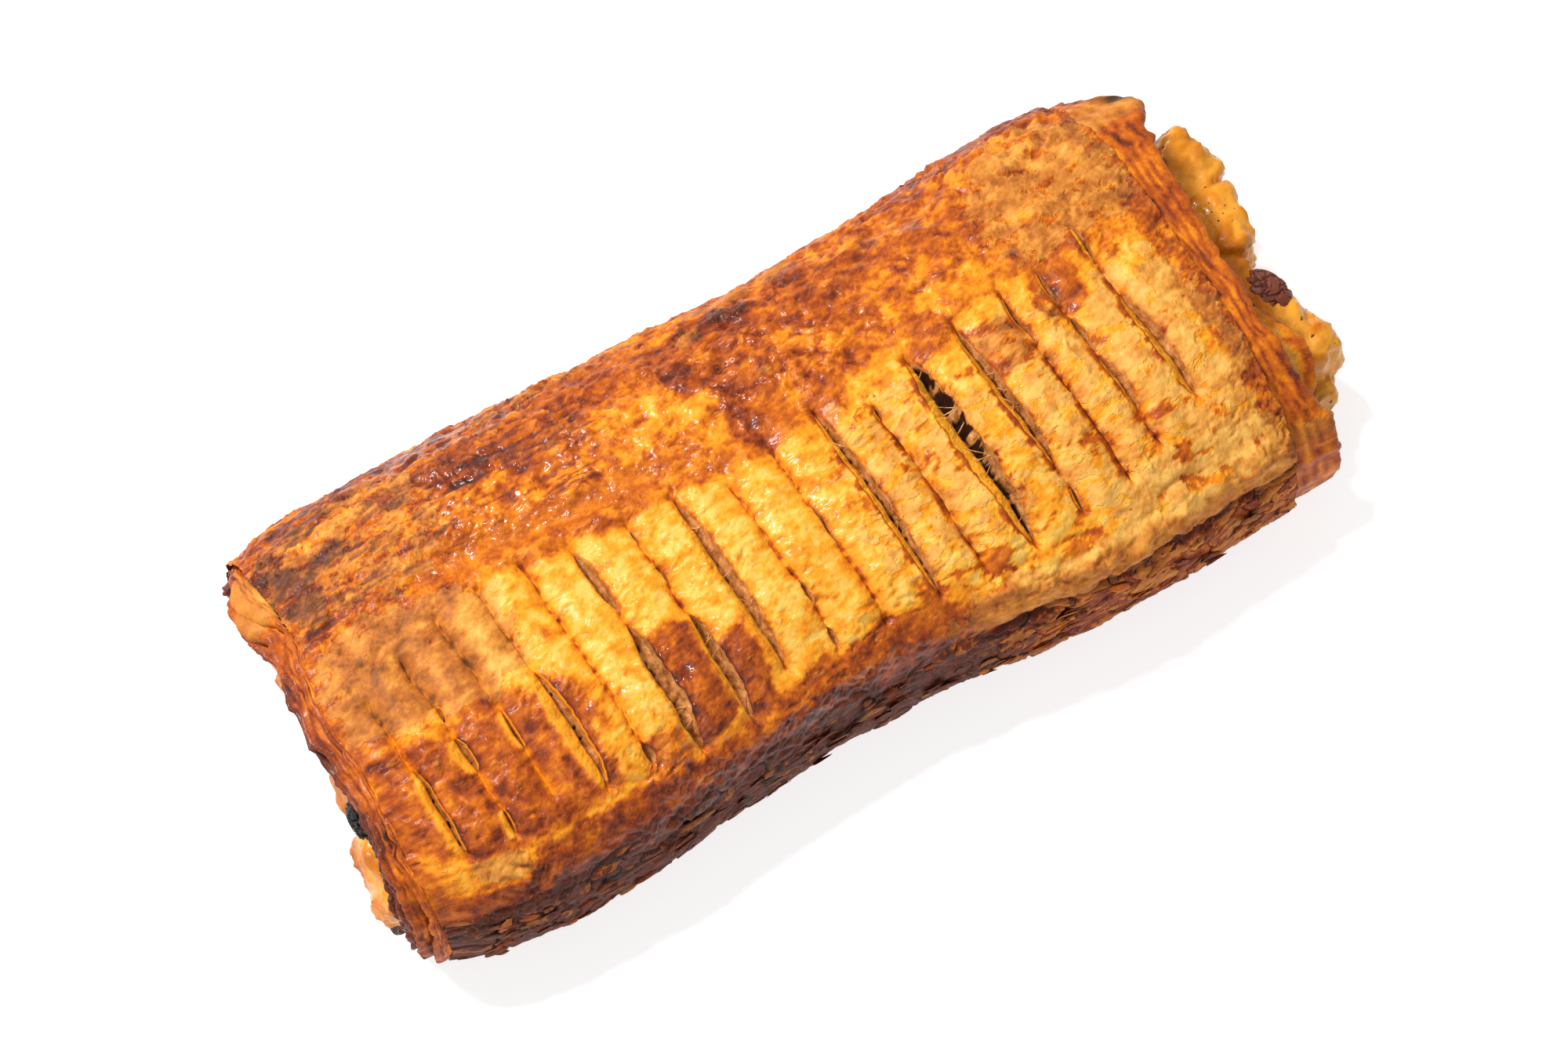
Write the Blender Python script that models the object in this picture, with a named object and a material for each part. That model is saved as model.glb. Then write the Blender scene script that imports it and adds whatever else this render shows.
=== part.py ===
"""Apple strudel: a slit roll of puff pastry, open at both ends, round an apple filling with raisins.

The roll lies along X with its slit side up and its front towards -Y. The origin is on the
resting face, under the middle of the whole object's box. Run with
blender --background --python part.py, or from Blender's text editor.
"""

import math

import bmesh
import bpy
from mathutils import Matrix, Vector, noise

MM = 0.001

# The roll's outline: distance along it, half width in front, half width behind, height (mm).
OUTLINE = (
    (-90.0, 33.5, 35.0, 32.0),
    (-78.0, 38.8, 37.8, 35.0),
    (-58.0, 40.6, 38.5, 37.0),
    (-30.0, 37.8, 38.0, 37.4),
    (-4.0, 36.4, 37.4, 37.0),
    (18.0, 38.2, 37.2, 37.4),
    (40.0, 39.8, 38.6, 37.6),
    (60.0, 38.8, 41.2, 36.6),
    (80.0, 37.0, 39.6, 34.0),
)
WAIST_SHARE = 0.42  # height of the widest line, as a share of the roll's height
SIDE_POWER = 2.9  # how square the roll is across
CROWN_POWER = 2.4  # how square its top is
BASE_POWER = 3.4  # how square its underside is
BASE_CUT = 0.5  # what the flat resting face takes off the rounded underside (mm)
SKIN_ENDS = (-83.5, 71.0)  # where the outer sheet ends (mm)
SKIN_SLANT = (0.03, 0.0)  # how far each end leans along X for each mm across

# The cut edge of the folded dough at an end: reach past the outer sheet as a share of the
# whole reach, and depth below the outer surface (mm). Each pair is a leaf and its groove.
LEAF_EDGES = (
    (0.00, 0.0),
    (0.20, 0.7),
    (0.16, 1.7),
    (0.50, 2.1),
    (0.44, 3.1),
    (0.78, 3.5),
    (0.70, 4.5),
    (1.00, 5.2),
    (0.92, 6.6),
    (0.45, 7.6),
)
LEAF_REACH = (2.4, 4.6)  # reach in the middle of the left and right end (mm)
CORNER_REACH = ((4.2, 3.2), (5.8, 4.0))  # further reach at each end's front and rear corner (mm)

# The folded corner behind each end: its swelling (mm), and its place and spread round the
# section (degrees up from the rear side).
LOBES = ((3.2, 64.0, 19.0), (4.6, 47.0, 21.0))

WALL = 8.2  # dough between the outside and the filling, at the sides and on top (mm)
FLOOR = 5.0  # dough under the filling (mm)
GAP = 0.3  # clearance between touching pieces (mm)
AROUND = 52  # points round a section
STEP_ALONG = 8.0  # spacing of the sections along the roll (mm)

# Each slit: place along the roll at SLIT_MIDDLE, then its open parts as (start, end, gape),
# running from behind to the front across the roll (mm).
SLITS = (
    (-77.7, ((-15.0, -30.5, 1.6),)),
    (-69.7, ((-8.0, -11.0, 1.5), (-14.0, -20.5, 2.1))),
    (-61.7, ((-14.0, -21.0, 1.2),)),
    (-54.0, ((-11.0, -32.0, 2.9),)),
    (-46.0, ((-28.5, -32.0, 1.5),)),
    (-38.0, ((3.5, -9.8, 1.7), (-11.4, -33.5, 2.8))),
    (-28.8, ((-14.5, -33.0, 2.3),)),
    (-20.4, ((3.0, -29.0, 2.7),)),
    (-11.6, ((-18.5, -22.5, 1.3), (-26.5, -29.5, 1.3))),
    (-3.0, ((-8.5, -16.5, 1.2),)),
    (6.4, ((5.5, -30.5, 2.4),)),
    (14.6, ((1.0, -2.0, 1.2),)),
    (23.4, ((5.5, -31.0, 4.2),)),
    (32.8, ((6.5, -22.0, 2.4),)),
    (42.0, ((7.0, -3.0, 1.2),)),
    (49.2, ((-1.5, -8.0, 1.5), (-9.5, -20.5, 1.5))),
    (58.6, ((12.5, 5.0, 1.3), (-1.5, -22.5, 2.7))),
)
SLIT_SLANT = 3.4  # turn of the slits, their front ends to the right (degrees)
SLIT_MIDDLE = -12.0  # where across the roll a slit's place along it is taken (mm)
SLIT_DEPTH = 6.0  # depth of the widest slit; a narrower one is shallower (mm)
FULL_GAPE = 3.0  # gape from which a slit has its full depth (mm)

# Pieces of apple that stand out of an end: centre, size, and turn about X, Y and Z (mm, degrees).
APPLE_RIGHT = (
    ((78.2, 16.5, 20.0), (22.0, 14.0, 11.0), (10, -8, 16)),
    ((76.6, 6.5, 20.5), (20.0, 13.0, 11.0), (-8, -6, -10)),
    ((73.0, -3.5, 19.5), (18.0, 14.0, 11.0), (12, 8, 8)),
    ((75.5, -12.5, 18.5), (20.0, 12.0, 11.0), (-6, 6, -12)),
    ((79.6, -20.2, 18.0), (20.0, 9.0, 9.0), (-14, 4, 10)),
    ((70.0, 25.0, 16.0), (16.0, 10.0, 9.0), (0, 10, -12)),
)
APPLE_LEFT = (
    ((-82.2, -22.5, 17.0), (16.0, 15.0, 13.0), (10, 6, -8)),
    ((-78.8, -9.0, 16.5), (14.0, 15.0, 11.0), (-6, 10, 6)),
    ((-78.0, 10.0, 17.0), (12.0, 17.0, 10.0), (8, -6, 12)),
)
FILLING_ENDS = (-83.5, 74.0)  # the jellied core between the apple pieces (mm)

# Raisins: centre, size, and turn about X, Y and Z (mm, degrees).
RAISINS = {
    "raisin_left": ((-86.6, -14.4, 23.0), (4.4, 8.6, 5.6), (14, 0, 6)),
    "raisin_right": ((83.4, -7.6, 21.6), (6.4, 9.0, 4.8), (10, 8, 28)),
}

BOX_MIDDLE = (-0.3, 0.27)  # the middle of the whole box before it moves to the origin (mm)

CRUST_BROWN = (0.50, 0.20, 0.045)
APPLE_YELLOW = (0.72, 0.42, 0.07)
RAISIN_BLACK = (0.030, 0.014, 0.010)
RAISIN_RED = (0.16, 0.035, 0.020)


def outline_at(x):
    """(front half width, rear half width, height) at x, on a smooth curve through OUTLINE."""
    places = [row[0] for row in OUTLINE]
    x = min(max(x, places[0]), places[-1])
    at = max(i for i in range(len(places) - 1) if places[i] <= x)
    rows = [OUTLINE[min(max(at + k, 0), len(OUTLINE) - 1)] for k in (-1, 0, 1, 2)]
    t = (x - places[at]) / (places[at + 1] - places[at])
    found = []
    for before, start, end, after in zip(*(row[1:] for row in rows)):
        rise_in, rise_out = (end - before) / 2, (after - start) / 2
        found.append(
            start * (2 * t**3 - 3 * t**2 + 1)
            + rise_in * (t**3 - 2 * t**2 + t)
            + end * (3 * t**2 - 2 * t**3)
            + rise_out * (t**3 - t**2)
        )
    return found


def powered(value, power):
    """value's size raised to 2 / power, with its sign kept: a superellipse's coordinate."""
    return math.copysign(abs(value) ** (2 / power), value)


def section_point(x, turn, wall=0.0, floor=0.0):
    """A point of the roll's section at x: wall moves its sides and top inwards, and floor its
    underside."""
    front, rear, height = outline_at(x)
    across, up = math.cos(turn), math.sin(turn)
    half = (rear if across > 0 else front) - wall
    waist = WAIST_SHARE * height
    y = half * powered(across, SIDE_POWER)
    if up > 0:
        return y, waist + (height - waist - wall) * powered(up, CROWN_POWER)
    low = waist + (waist + BASE_CUT) * powered(up, BASE_POWER)
    return y, max(low, 0.0) + floor * abs(powered(up, BASE_POWER))


def even_turns(count):
    """Angles that set points evenly round the middle section."""
    fine = [math.tau * i / 1440 for i in range(1441)]
    points = [Vector(section_point(0.0, turn)) for turn in fine]
    lengths = [0.0]
    for a, b in zip(points, points[1:]):
        lengths.append(lengths[-1] + (b - a).length)
    turns, at = [], 0
    for i in range(count):
        while lengths[at] < lengths[-1] * i / count:
            at += 1
        turns.append(fine[at])
    return turns


def lobe(side, turn):
    """How far an end's folded corner swells at an angle round the section (mm)."""
    swell, place, spread = LOBES[side]
    return swell * math.exp(-(((math.degrees(turn) - place) / spread) ** 2))


def end_point(side, turn, share, depth):
    """A point on the cut edge of the dough: side 0 is the left end and 1 the right."""
    y, z = section_point(SKIN_ENDS[side], turn, wall=depth, floor=depth * FLOOR / WALL)
    corner = CORNER_REACH[side][y > 0] * (y / 36.0) ** 2
    reach = (LEAF_REACH[side] + corner + lobe(side, turn)) * share
    swell = 0.4 * lobe(side, turn) * math.sin(math.pi * share)
    x = SKIN_ENDS[side] + SKIN_SLANT[side] * y + (reach if side else -reach)
    return Vector((x, y + swell * math.cos(turn), z + swell * math.sin(turn)))


def loft(rings):
    """A mesh through rings of points, open at its first and last ring. Every ring has as many
    points as the first, in the same order."""
    bm = bmesh.new()
    order = bm.verts.layers.int.new("order")
    ring = bmesh.ops.create_circle(bm, segments=len(rings[0]), radius=1.0)["verts"]
    for i, vert in enumerate(ring):
        vert[order] = i
    edges = list(bm.edges)
    for vert in ring:
        vert.co = rings[0][vert[order]] * MM
    for points in rings[1:]:
        grown = bmesh.ops.extrude_edge_only(bm, edges=edges)["geom"]
        edges = [e for e in grown if isinstance(e, bmesh.types.BMEdge)]
        for vert in (v for v in grown if isinstance(v, bmesh.types.BMVert)):
            vert.co = points[vert[order]] * MM
    return bm


def mesh_object(name, bm, collection, colour=CRUST_BROWN, roughness=0.55):
    """Turns bm into an object with a plain material, its faces pointing out."""
    bmesh.ops.recalc_face_normals(bm, faces=bm.faces)
    mesh = bpy.data.meshes.new(name)
    bm.to_mesh(mesh)
    bm.free()
    mesh.shade_smooth()
    mesh.set_sharp_from_angle(angle=math.radians(40))
    material = bpy.data.materials.new(name)
    material.use_nodes = True
    shader = material.node_tree.nodes["Principled BSDF"]
    shader.inputs["Base Color"].default_value = (*colour, 1.0)
    shader.inputs["Roughness"].default_value = roughness
    mesh.materials.append(material)
    made = bpy.data.objects.new(name, mesh)
    collection.objects.link(made)
    return made


def stations():
    """Places of the sections between the two ends of the outer sheet."""
    start, end = SKIN_ENDS
    count = round((end - start) / STEP_ALONG)
    return [start + (end - start) * i / count for i in range(count + 1)]


def pastry_rings(turns):
    """The pastry's sections: over the outside, round the right end, back through the middle
    where the filling lies, and out to the left end."""
    rings = []
    for x in stations():
        lean = [0.0] * len(turns)
        for side in (0, 1):
            near = max(0.0, 1 - abs(x - SKIN_ENDS[side]) / 20)
            lean = [a + near * SKIN_SLANT[side] for a in lean]
        ring = []
        for turn, slant in zip(turns, lean):
            y, z = section_point(x, turn)
            ring.append(Vector((x + slant * y, y, z)))
        rings.append(ring)
    for share, depth in LEAF_EDGES[1:]:
        rings.append([end_point(1, turn, share, depth) for turn in turns])
    for x in (SKIN_ENDS[1] - 6, 25.0, -30.0, SKIN_ENDS[0] + 6):
        ring = []
        for turn in turns:
            y, z = section_point(x, turn, wall=WALL, floor=FLOOR)
            ring.append(Vector((x, y, z)))
        rings.append(ring)
    for share, depth in reversed(LEAF_EDGES[1:]):
        rings.append([end_point(0, turn, share, depth) for turn in turns])
    return rings


def make_pastry(collection):
    rings = pastry_rings(even_turns(AROUND))
    bm = loft(rings)
    open_edges = [e for e in bm.edges if e.is_boundary]
    bmesh.ops.bridge_loops(bm, edges=open_edges)
    return mesh_object("pastry", bm, collection)


def ellipsoid(name, centre, size, turn, collection, grow=0.0, detail=12):
    """A round body of that size, turned about X, Y and Z, from a sphere."""
    bm = bmesh.new()
    bmesh.ops.create_uvsphere(
        bm, u_segments=detail, v_segments=detail // 2, radius=0.5
    )
    bmesh.ops.scale(bm, vec=[(s + 2 * grow) * MM for s in size], verts=bm.verts)
    for angle, axis in zip(turn, "XYZ"):
        matrix = Matrix.Rotation(math.radians(angle), 3, axis)
        bmesh.ops.rotate(bm, matrix=matrix, verts=bm.verts)
    bmesh.ops.translate(bm, vec=Vector(centre) * MM, verts=bm.verts)
    return mesh_object(name, bm, collection)


def surface_height(x, y):
    """Height of the roll's top above the resting face, and its slope across (mm, mm for mm)."""
    front, rear, height = outline_at(x)
    waist = WAIST_SHARE * height
    half = rear if y > 0 else front

    def at(place):
        share = min(abs(place) / half, 0.98)
        up = (1 - share**SIDE_POWER) ** (1 / 2)
        return waist + (height - waist) * up ** (2 / CROWN_POWER)

    return at(y), (at(y + 0.5) - at(y - 0.5))


def make_slit_cutters(collection):
    """One boat-shaped blade for each open part of a slit, sunk along the roll's top."""
    for i, (x, parts) in enumerate(SLITS):
        for k, (start, end, gape) in enumerate(parts):
            depth = SLIT_DEPTH * min(gape / FULL_GAPE, 1.0)
            middle = (start + end) / 2
            height, slope = surface_height(x, middle)
            tilt = math.degrees(math.atan(slope))
            size = (gape, start - end, 2 * depth)
            shift = math.tan(math.radians(SLIT_SLANT)) * (SLIT_MIDDLE - middle)
            centre = (x + shift, middle, height + 0.4)
            ellipsoid(f"slit_{i}_{k}", centre, size, (tilt, 0, SLIT_SLANT), collection)


def cut_with(target, collection, operation="DIFFERENCE"):
    """Cuts or joins target with every object of a collection."""
    modifier = target.modifiers.new(operation.title(), "BOOLEAN")
    modifier.operation = operation
    modifier.operand_type = "COLLECTION"
    modifier.collection = collection


def make_core(name, turns, ends, inset, rounding, collection):
    """A closed body that fills the roll's hollow between two ends, inset from its wall. Its
    own ends are rounded off by that much."""
    start, end = ends
    inside = (SKIN_ENDS[0] + 6, -30.0, 25.0, SKIN_ENDS[1] - 6)
    rings = []
    for x in (start, start + 5, *inside, end - 5, end):
        near = min(x - start, end - x)
        inset_here = inset + rounding * (1.0 if near == 0 else 0.3 if near <= 5 else 0.0)
        ring = []
        for turn in turns:
            y, z = section_point(x, turn, wall=WALL + inset_here, floor=FLOOR + inset_here)
            ring.append(Vector((x, y, z)))
        rings.append(ring)
    bm = loft(rings)
    bmesh.ops.holes_fill(bm, edges=[e for e in bm.edges if e.is_boundary], sides=0)
    return mesh_object(name, bm, collection, APPLE_YELLOW, 0.3)


def make_apple_piece(name, centre, size, turn, seed, collection):
    """A cooked piece of apple: a block with rounded edges and a soft, uneven surface."""
    bm = bmesh.new()
    bmesh.ops.create_cube(bm, size=1.0)
    bmesh.ops.scale(bm, vec=[s * MM for s in size], verts=bm.verts)
    bmesh.ops.bevel(
        bm, geom=bm.edges, offset=3.0 * MM, segments=2, profile=0.5,
        affect="EDGES", clamp_overlap=True,
    )
    bmesh.ops.subdivide_edges(bm, edges=bm.edges, cuts=1, use_grid_fill=True)
    for vert in bm.verts:
        place = vert.co / (7 * MM) + Vector((seed, 0, 0))
        vert.co *= 1 + 0.12 * noise.noise(place)
    for angle, axis in zip(turn, "XYZ"):
        matrix = Matrix.Rotation(math.radians(angle), 3, axis)
        bmesh.ops.rotate(bm, matrix=matrix, verts=bm.verts)
    bmesh.ops.translate(bm, vec=Vector(centre) * MM, verts=bm.verts)
    return mesh_object(name, bm, collection)


def make_filling(collection, apples, hollow):
    """The jellied core joined with the pieces of apple that stand out of its ends, all kept
    clear of the hollow's wall."""
    turns = even_turns(36)
    filling = make_core("filling", turns, FILLING_ENDS, 2 * GAP, 2.2, collection)
    for i, (centre, size, turn) in enumerate(APPLE_RIGHT + APPLE_LEFT):
        make_apple_piece(f"apple_{i}", centre, size, turn, 3.7 * i, apples)
    make_core("hollow", turns, (-110.0, 110.0), GAP, 0.0, hollow)
    cut_with(filling, apples, "UNION")
    cut_with(filling, hollow, "INTERSECT")
    return filling


def make_raisins(collection, pockets):
    """The two raisins that show, and the pockets that they sit in."""
    colours = {"raisin_left": RAISIN_BLACK, "raisin_right": RAISIN_RED}
    for name, (centre, size, turn) in RAISINS.items():
        raisin = ellipsoid(name, centre, size, turn, collection, detail=14)
        shader = raisin.data.materials[0].node_tree.nodes["Principled BSDF"]
        shader.inputs["Base Color"].default_value = (*colours[name], 1.0)
        ellipsoid(f"{name}_pocket", centre, size, turn, pockets, grow=GAP, detail=14)


def helper_collection(name, scene):
    made = bpy.data.collections.new(name)
    scene.collection.children.link(made)
    return made


def main():
    for obj in list(bpy.data.objects):
        bpy.data.objects.remove(obj)
    scene = bpy.context.scene
    strudel = helper_collection("apple strudel", scene)
    slits = helper_collection("slit cutters", scene)
    apples = helper_collection("apple pieces", scene)
    pockets = helper_collection("raisin pockets", scene)
    hollow = helper_collection("hollow of the roll", scene)

    pastry = make_pastry(strudel)
    make_slit_cutters(slits)
    cut_with(pastry, slits)
    filling = make_filling(strudel, apples, hollow)
    make_raisins(strudel, pockets)
    cut_with(filling, pockets)
    cut_with(pastry, pockets)
    move = Matrix.Translation((-BOX_MIDDLE[0] * MM, -BOX_MIDDLE[1] * MM, 0))
    for obj in bpy.data.objects:
        obj.data.transform(move)
    for helpers in (slits, apples, pockets, hollow):
        for obj in helpers.objects:
            obj.hide_render = True
            obj.display_type = "WIRE"


main()
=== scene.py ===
# %% [markdown]
# # A baked apple strudel
# A strudel is a roll of puff pastry round cooked apple. The baker folds a sheet of dough over
# the filling, slits the top so that steam can get out, brushes it with egg and glaze, and bakes
# it until the skin is gold on the slats, orange on the smooth back and nearly black low on the
# sides; on the front wall that dark colour also holds painted shade. The CAD part fixes every
# size. This script only gives it its looks, piece by piece.

# %% Load the part
import itertools
import math
from types import SimpleNamespace

import bmesh
import bpy
import numpy as np
from mathutils import Euler, Matrix, Vector


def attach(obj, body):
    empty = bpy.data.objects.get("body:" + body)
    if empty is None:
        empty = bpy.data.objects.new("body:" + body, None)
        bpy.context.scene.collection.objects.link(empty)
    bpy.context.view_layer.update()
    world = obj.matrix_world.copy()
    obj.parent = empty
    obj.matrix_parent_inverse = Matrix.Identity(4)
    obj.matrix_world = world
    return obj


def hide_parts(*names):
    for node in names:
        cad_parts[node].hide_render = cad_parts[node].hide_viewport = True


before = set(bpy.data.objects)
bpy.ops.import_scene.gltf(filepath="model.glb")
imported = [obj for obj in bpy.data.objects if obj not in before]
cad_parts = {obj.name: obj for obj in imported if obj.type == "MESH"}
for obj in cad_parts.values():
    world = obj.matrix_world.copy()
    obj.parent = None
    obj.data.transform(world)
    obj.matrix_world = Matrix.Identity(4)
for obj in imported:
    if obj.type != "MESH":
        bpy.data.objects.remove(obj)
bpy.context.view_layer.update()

# %% [markdown]
# The roll's outline is the one that the part was built with: how far the skin stands out in
# front, behind and above at a few places along the roll. Everything below is laid on this
# outline, so no piece can drift away from the solid it stands for.

# %% The roll's outline
MM = 0.001
BOX_MIDDLE = (-0.3, 0.27)
# Place along the roll, front half width, rear half width and height (mm).
OUTLINE = np.array((
    (-90.0, 33.5, 35.0, 32.0),
    (-78.0, 38.8, 37.8, 35.0),
    (-58.0, 40.6, 38.5, 37.0),
    (-30.0, 37.8, 38.0, 37.4),
    (-4.0, 36.4, 37.4, 37.0),
    (18.0, 38.2, 37.2, 37.4),
    (40.0, 39.8, 38.6, 37.6),
    (60.0, 38.8, 41.2, 36.6),
    (80.0, 37.0, 39.6, 34.0),
))
SKIN_ENDS = (-83.5, 71.0)
WAIST_SHARE, SIDE_POWER, CROWN_POWER, BASE_POWER = 0.42, 2.9, 2.4, 3.4


def outline_at(x):
    """Front half width, rear half width and height at x, on a smooth curve through OUTLINE."""
    places = OUTLINE[:, 0]
    x = np.clip(x, places[0], places[-1] - 1e-6)
    at = np.searchsorted(places, x, side="right") - 1
    last = len(places) - 1
    before, start, end, after = (OUTLINE[np.clip(at + k, 0, last), 1:] for k in (-1, 0, 1, 2))
    t = ((x - places[at]) / (places[at + 1] - places[at]))[..., None]
    rise_in, rise_out = (end - before) / 2, (after - start) / 2
    return (
        start * (2 * t**3 - 3 * t**2 + 1)
        + rise_in * (t**3 - 2 * t**2 + t)
        + end * (3 * t**2 - 2 * t**3)
        + rise_out * (t**3 - t**2)
    )


def powered(value, power):
    """A sine or cosine squared off: the larger the power, the boxier the section."""
    return np.sign(value) * np.abs(value) ** (2 / power)


def roll_points(x, turn, depth=0.0):
    """Points on the roll's section at x and at an angle round it, sunk by depth (mm)."""
    front, rear, height = np.moveaxis(outline_at(x), -1, 0)
    across, up = np.cos(turn), np.sin(turn)
    y = (np.where(across > 0, rear, front) - depth) * powered(across, SIDE_POWER)
    waist = WAIST_SHARE * height
    top = waist + (height - waist - depth) * powered(up, CROWN_POWER)
    low = waist + (waist + 0.5) * powered(up, BASE_POWER)
    low = np.maximum(low, 0.0) + 0.6 * depth * np.abs(powered(up, BASE_POWER))
    return np.stack((x, y, np.where(up > 0, top, low)), axis=-1)


# The skin at the middle of the roll, measured in fine steps: distances along it are arcs. An
# angle of 0 is the rear waist and -pi the front waist, so the underside lies between.
FINE_TURNS = np.linspace(-math.pi, math.pi, 2881)
FINE_ROUND = roll_points(np.zeros_like(FINE_TURNS), FINE_TURNS)
FINE_ARC = np.r_[0, np.cumsum(np.linalg.norm(np.diff(FINE_ROUND, axis=0), axis=1))]
CROWN_ARC = np.interp(math.pi / 2, FINE_TURNS, FINE_ARC)
ARC_ALL = FINE_ARC[-1]


def turn_at(arc):
    """The angle round the section for a distance along the skin from the crown, rear plus."""
    return np.interp((CROWN_ARC - np.asarray(arc)) % ARC_ALL, FINE_ARC, FINE_TURNS)


def arc_at(y):
    """The distance along the skin from the crown for a place across the top."""
    arcs = np.linspace(-45, 45, 901)
    return np.interp(y, roll_points(np.zeros(901), turn_at(arcs))[:, 1], arcs)


def on_skin(x, arc, out):
    """Points at a height out above the smooth skin (mm)."""
    turn = turn_at(arc)
    ahead = roll_points(x + 0.05, turn) - roll_points(x - 0.05, turn)
    beside = roll_points(x, turn_at(arc + 0.3)) - roll_points(x, turn_at(arc - 0.3))
    outward = np.cross(ahead, beside)
    outward /= np.linalg.norm(outward, axis=-1, keepdims=True)
    return roll_points(x, turn) + outward * np.asarray(out)[..., None]


print("skin round the middle of the roll:", round(float(ARC_ALL), 1), "mm")

# %% [markdown]
# Nothing on a baked skin is even: wrinkles, blisters and flakes come from noise. Two kinds are
# enough. Smooth noise gives lumps and wrinkles, and scattered cells give flakes with edges.
# Both are written here with numpy, because the skin has about two hundred thousand points, and
# each always gives the same numbers for the same seed.

# %% Noise
def scatter(cell, seed):
    """An even random number from 0 to 1 for each whole-numbered cell."""
    mixed = np.full(cell.shape[:-1], seed * 7919 + 101, np.int64)
    for axis, factor in zip(range(cell.shape[-1]), (374761393, 668265263, 2147483647)):
        mixed = (mixed ^ (cell[..., axis] * factor)) & 0xFFFFFFFF
        mixed = ((mixed ^ (mixed >> 15)) * 2246822519) & 0xFFFFFFFF
    mixed = ((mixed ^ (mixed >> 13)) * 3266489917) & 0xFFFFFFFF
    return (mixed ^ (mixed >> 16)) / 0xFFFFFFFF


def noise_at(places, seed=0):
    """Smooth noise of about -1 to 1 at points in the plane or in space."""
    cell = np.floor(places).astype(np.int64)
    part = places - cell
    ease = part**3 * (part * (6 * part - 15) + 10)
    total = 0.0
    for corner in itertools.product((0, 1), repeat=places.shape[-1]):
        weight = np.prod(np.where(corner, ease, 1 - ease), axis=-1)
        lean = 0.0
        for axis, step in enumerate(corner):
            pull = 2 * scatter(cell + np.array(corner), seed + 31 * axis) - 1
            lean = lean + pull * (part[..., axis] - step)
        total = total + weight * lean
    return 1.7 * total


def layers(places, seed=0, count=4, fade=0.5):
    """Smooth noise with finer and fainter noise added, count layers in all."""
    return sum(fade**k * noise_at(places * 2.03**k, seed + 5 * k) for k in range(count))


def cells_at(places, seed=0):
    """For scattered points: the distances to the nearest two, the nearest one's random number,
    and how far past it the place lies along the last axis."""
    cell = np.floor(places).astype(np.int64)
    first = np.full(places.shape[:-1], 9.0)
    second, number, past = first.copy(), 0 * first, 0 * first
    for step in itertools.product((-1, 0, 1), repeat=places.shape[-1]):
        near = cell + np.array(step)
        spots = [near[..., k] + scatter(near, seed + 17 * k) for k in range(near.shape[-1])]
        away = np.linalg.norm(places - np.stack(spots, axis=-1), axis=-1)
        closer = away < first
        second = np.where(closer, first, np.minimum(second, away))
        number = np.where(closer, scatter(near, seed + 99), number)
        past = np.where(closer, places[..., -1] - spots[-1], past)
        first = np.where(closer, away, first)
    return first, second, number, past


def ramp(value, low, high):
    """0 below low, 1 above high and a smooth rise between. It falls when low is the larger."""
    t = np.clip((value - low) / (high - low), 0, 1)
    return t * t * (3 - 2 * t)


def hump(value, middle, spread):
    """1 at the middle, falling off smoothly to either side."""
    return np.exp(-(((value - middle) / spread) ** 2))


def plane(x, arc, wide, deep=None):
    """Points in the skin's plane for noise whose lumps are wide along and deep across (mm)."""
    return np.stack((x / wide, arc / (deep or wide)), axis=-1)


# %% [markdown]
# ## The slits
# The baker pulls a blade across the dough every 8 mm or so, a little off square. In the oven
# some cuts gape, some only crease, and some open in two or three short holes. Inside, the left
# wall is a smooth golden lip that leans back, the floor is pale crumb, and the right wall is
# the sharp edge of the next slat. Each row gives a slit's place along the roll, the share of
# its width that the lip takes, how deep its inside is and how dark its valley and holes are
# painted as painted shade, its open parts as start, end and gape across the roll, and the
# stretch over which it shows at least as a crease.

# %% Where each slit opens
SLIT_SLANT = -0.06
SLITS = (
    (-77.7, 0.32, 0.35, ((-15.0, -30.5, 1.5),), (-1.5, -31.0)),
    (-69.7, 0.34, 0.25, ((-8.0, -11.0, 1.5), (-14.0, -20.5, 2.1), (-27.0, -31.5, 0.9)), (2.0, -32.0)),
    (-61.7, 0.30, 0.40, ((-14.0, -21.0, 0.8),), (5.5, -30.0)),
    (-54.0, 0.40, 0.30, ((-11.0, -32.0, 2.9),), (5.5, -32.5)),
    (-46.0, 0.20, 0.60, ((-28.5, -32.0, 1.5),), (6.5, -32.5)),
    (-38.0, 0.14, 0.62, ((3.5, -9.8, 1.7), (-11.4, -33.5, 2.8)), (5.0, -34.0)),
    (-28.8, 0.20, 0.45, ((-14.5, -33.0, 2.3), (2.0, -1.0, 0.5), (-5.0, -9.0, 0.6)), (4.0, -33.5)),
    (-20.4, 0.28, 0.50, ((3.0, -29.0, 2.7),), (4.0, -30.0)),
    (-11.6, 0.20, 0.80, ((-18.5, -22.5, 0.9), (-26.5, -29.5, 1.1)), (1.5, -30.5)),
    (-3.0, 0.30, 0.50, ((-8.5, -16.5, 0.7),), (6.0, -30.5)),
    (6.4, 0.36, 0.66, ((5.5, -30.5, 2.1),), (6.5, -31.0)),
    (14.6, 0.20, 0.70, ((0.8, -1.6, 1.0),), (1.5, -31.0)),
    (23.4, 0.36, 1.00, ((5.5, -31.0, 4.2),), (6.5, -31.5)),
    (32.8, 0.34, 0.75, ((6.5, -22.0, 2.2), (-26.0, -30.0, 0.9)), (7.5, -31.0)),
    (42.0, 0.36, 0.50, ((7.0, -3.0, 0.9),), (8.0, -30.0)),
    (49.2, 0.34, 0.20, ((8.0, 1.0, 0.8), (-1.5, -8.0, 1.5), (-9.5, -20.5, 1.5)), (9.0, -27.0)),
    (58.6, 0.42, 0.22, ((12.5, 5.0, 1.2), (-1.5, -22.5, 2.7)), (13.0, -23.0)),
)
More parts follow.
